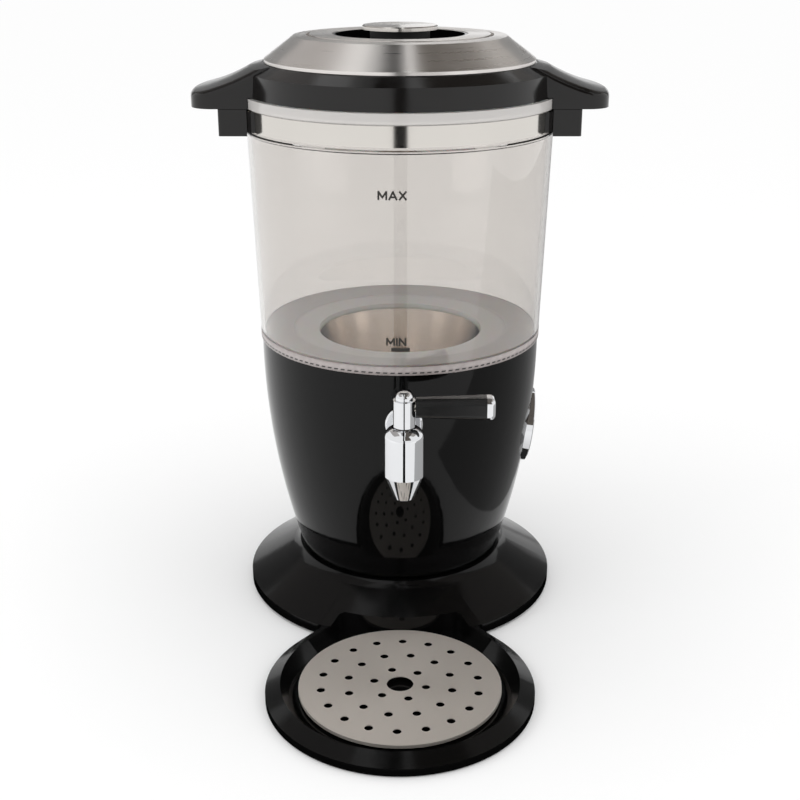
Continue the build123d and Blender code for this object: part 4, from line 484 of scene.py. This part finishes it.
finishes = {
    "base_disc": footBlack, "body_shell": mirrorBlack, "drip_tray": footBlack,
    "band_saddles": softBlack, "handle_lugs": softBlack, "collar": softBlack,
    "lid_well": mirrorBlack, "lever_grip": gripBlack,
    "base_cover": matBlack, "cord_gland": matBlack, "gland_nut": matBlack, "terminal_block": matBlack,
    "lid_base": matBlack, "cap_plug": matBlack, "dial_pointer": matBlack,
    "vessel": clearWall, "floor_ring": milky,
    "lid_cover": lidSteel, "drip_plate": plateSteel, "inner_bowl": bowlSteel,
    "clamp_band": bandSteel, "steam_cap": capSteel, "lever_stub": bandSteel,
    "tap_body": chrome, "tap_rosette": chrome, "lever_hub": chrome, "hub_cap": chrome,
    "lever_end_cap": chrome, "dial_bezel": chrome, "dial_knob": satinChrome,
    "tap_bonnet": turnedBrass, "tap_lock_nut": turnedBrass, "valve_plug": turnedBrass,
    "thermostat_nut": turnedBrass, "thermostat_shaft": turnedBrass,
    "bowl_gasket": whiteSilicone, "vessel_gasket": whiteSilicone, "collar_gasket": whiteSilicone,
    "lid_gasket": whiteSilicone, "cap_seal": whiteSilicone, "spout_insert": whiteSilicone,
    "rubber_feet": blackRubber, "tray_pads": blackRubber, "tap_seal": blackRubber,
    "heating_plate": castAluminium, "element_pins": zincSteel, "base_screws": zincSteel,
    "tie_screws": zincSteel, "flange_screws": zincSteel, "lug_screws": zincSteel,
    "lid_screws": zincSteel, "thermal_cutout": firedCeramic, "thermostat": firedCeramic,
}
for name, material in finishes.items():
    for slot in nodes[name].material_slots:
        slot.material = material
print("finishes given to", len(finishes), "nodes;", sorted(set(nodes) - set(finishes)), "left")


# The clear wall, which carries the marks and the band at its foot; all in mm
vesselWall = {"low": 224.0, "lowRadius": 114.0, "high": 389.5, "highRadius": 119.3}


def wallRadius(height):
    share = (height - vesselWall["low"]) / (vesselWall["high"] - vesselWall["low"])
    return vesselWall["lowRadius"] + share * (vesselWall["highRadius"] - vesselWall["lowRadius"])


def roundPoint(radius, angle, height):
    # a point in metres, from mm and an angle that starts at the front
    return Vector((radius * math.sin(angle), -radius * math.cos(angle), height)) * mm


def addPiece(name, work, material):
    # closes the bmesh work into a piece that moves with the base
    mesh = bpy.data.meshes.new(name)
    work.to_mesh(mesh)
    work.free()
    mesh.materials.append(material)
    piece = addObject(name, mesh)
    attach(piece, "base_unit")


def patchySurface(name, low, high, patchSize, detail, surface):
    # surface holds the roughness and, where it isn't the default, the IOR
    material, tree = startMaterial(name)
    place = addNode(tree, "TexCoord").outputs["Object"]
    patch = addNode(tree, "TexNoise", {"Scale": perMm(patchSize), "Detail": detail}, {"Vector": place})
    colour = addNode(tree, "ValToRGB", {"stops": [(0, low), (1, high)]}, {"Fac": patch.outputs["Fac"]})
    shader = addNode(tree, "BsdfPrincipled", surface, {"Base Color": colour.outputs[0]})
    endMaterial(tree, shader)
    return material


# Level marks, printed on the vessel
marks = {
    "film": 0.06, "lift": 0.02,  # thickness of the ink, and how far its middle stands off the wall
    "letterGap": 0.30, "overhang": 0.3,  # shares of the cap height and of the stroke's weight
    "max": {"words": "MAX", "middle": (-5.5, 360.7), "capHeight": 7.0, "weight": 1.35},
    "min": {"words": "MIN", "middle": (-2.8, 251.2), "capHeight": 6.6, "weight": 1.35},
    "bar": {"middle": (0.4, 245.0), "wide": 13.7, "high": 2.9, "steps": 16},
}
letterStrokes = {
    # width as a share of the cap height, and strokes between points in shares of width and height
    "M": (0.80, [((0, 0), (0, 1)), ((0, 1), (0.5, 0.25)), ((0.5, 0.25), (1, 1)), ((1, 1), (1, 0))]),
    "A": (0.74, [((0, 0), (0.5, 1)), ((0.5, 1), (1, 0)), ((0.18, 0.3), (0.82, 0.3))]),
    "X": (0.66, [((0, 0), (1, 1)), ((0, 1), (1, 0))]),
    "I": (0.00, [((0, 0), (0, 1))]),
    "N": (0.66, [((0, 0), (0, 1)), ((0, 1), (1, 0)), ((1, 0), (1, 1))]),
}
# pad-printing ink: a thin matt film with slightly uneven cover
ink = patchySurface(
    "pad-printed ink", "#1a1815", "#2b2823", patchSize=1.0, detail=3.0, surface={"Roughness": 0.5})


def wrapOnVessel(work, middle):
    # lays a flat mesh, drawn in mm, on the tapered wall at the front
    for corner in work.verts:
        height = middle[1] + corner.co.y
        radius = wallRadius(height) + marks["lift"] + corner.co.z
        corner.co = roundPoint(radius, (middle[0] + corner.co.x) / wallRadius(height), height)


def addStroke(work, start, end, weight):
    # one straight stroke of a letter, as a thin flat bar in mm
    start, end = Vector(start), Vector(end)
    way = (end - start).normalized()
    side = Vector((-way.y, way.x)) * weight / 2
    start, end = start - way * weight * marks["overhang"], end + way * weight * marks["overhang"]
    for z in (marks["film"] / 2, -marks["film"] / 2):
        ring = [start + side, start - side, end - side, end + side]
        work.faces.new([work.verts.new((c.x, c.y, z)) for c in (ring if z > 0 else ring[::-1])])


def buildMark(name):
    mark = marks[name]
    high, weight = mark["capHeight"], mark["weight"]
    gap = marks["letterGap"] * high
    total = sum(letterStrokes[c][0] * high for c in mark["words"]) + gap * (len(mark["words"]) - 1)
    work = bmesh.new()
    left = -total / 2
    for letter in mark["words"]:
        width, strokes = letterStrokes[letter]
        for stroke in strokes:
            start, end = [(left + x * width * high, (y - 0.5) * (high - weight)) for x, y in stroke]
            addStroke(work, start, end, weight)
        left += width * high + gap
    wrapOnVessel(work, mark["middle"])
    addPiece(name + "_mark", work, ink)


def buildBar():
    # bar under the lower mark, cut into short steps so that it follows the curve of the wall
    bar = marks["bar"]
    work = bmesh.new()
    columns = []
    for step in range(bar["steps"] + 1):
        x = bar["wide"] * (step / bar["steps"] - 0.5)
        ends = (-bar["high"] / 2, bar["high"] / 2)
        columns.append([work.verts.new((x, y, marks["film"] / 2)) for y in ends])
    for left, right in zip(columns, columns[1:]):
        work.faces.new((left[0], right[0], right[1], left[1]))
    thick = bmesh.ops.extrude_face_region(work, geom=work.faces[:])
    for part in thick["geom"]:
        if isinstance(part, bmesh.types.BMVert):
            part.co.z -= marks["film"]
    bmesh.ops.recalc_face_normals(work, faces=work.faces[:])
    wrapOnVessel(work, bar["middle"])
    addPiece("bar_mark", work, ink)


buildMark("max")
buildMark("min")
buildBar()
print("level marks done")


# Pale band at the foot of the vessel, with a row of short slots
band = {"low": 224.5, "high": 231.2, "proud": 0.15, "steps": 240}
slots = {
    "pitch": 5.5, "width": 3.2, "height": 1.1, "lean": 0.5, "middle": 226.4,
    "back": 0.05, "proud": 0.22,  # how far their two faces stand off the wall
}
# SAN left frosted where the vessel is bonded: pale, and a little uneven from the bonding
frostedSan = patchySurface(
    "frosted moulded SAN", "#8f8785", "#b8b0ae", patchSize=5, detail=3.0,
    surface={"Roughness": 0.25, "IOR": 1.57})
# painted shade: the slots are drawn as dark marks, and this dark colour stands in for the shade inside them
slotShadeSan = patchySurface(
    "slot shade SAN", "#1d1b1a", "#3a3735", patchSize=3, detail=2.0,
    surface={"Roughness": 0.35, "IOR": 1.57})


def buildBand():
    profile = [
        (band["low"], 0), (band["low"], band["proud"]), (band["high"], band["proud"]), (band["high"], 0)]
    work = bmesh.new()
    rings = []
    for step in range(band["steps"]):
        turn = 2 * math.pi * step / band["steps"]
        rings.append([work.verts.new(roundPoint(wallRadius(z) + out, turn, z)) for z, out in profile])
    for one, two in zip(rings, rings[1:] + rings[:1]):
        for i in range(4):
            j = (i + 1) % 4
            work.faces.new((one[i], two[i], two[j], one[j]))
    bmesh.ops.recalc_face_normals(work, faces=work.faces[:])
    for face in work.faces:
        face.smooth = True
    addPiece("joint_band", work, frostedSan)


# the slots are not cut: dark marks stand off the band, coloured with painted shade
def buildSlots():
    radius = wallRadius(slots["middle"])
    count = round(2 * math.pi * radius / slots["pitch"])
    work = bmesh.new()
    for number in range(count):
        back, front = [], []
        for side, rise in ((-1, -1), (1, -1), (1, 1), (-1, 1)):
            height = slots["middle"] + rise * slots["height"] / 2
            shift = side * slots["width"] / 2 + rise * slots["lean"] / 2
            angle = 2 * math.pi * number / count + shift / radius
            back.append(work.verts.new(roundPoint(wallRadius(height) + slots["back"], angle, height)))
            front.append(work.verts.new(roundPoint(wallRadius(height) + slots["proud"], angle, height)))
        work.faces.new(front)
        for i in range(4):
            j = (i + 1) % 4
            work.faces.new((back[i], back[j], front[j], front[i]))
        work.faces.new(back[::-1])
    addPiece("joint_slots", work, slotShadeSan)


buildBand()
buildSlots()
print("joint band done")
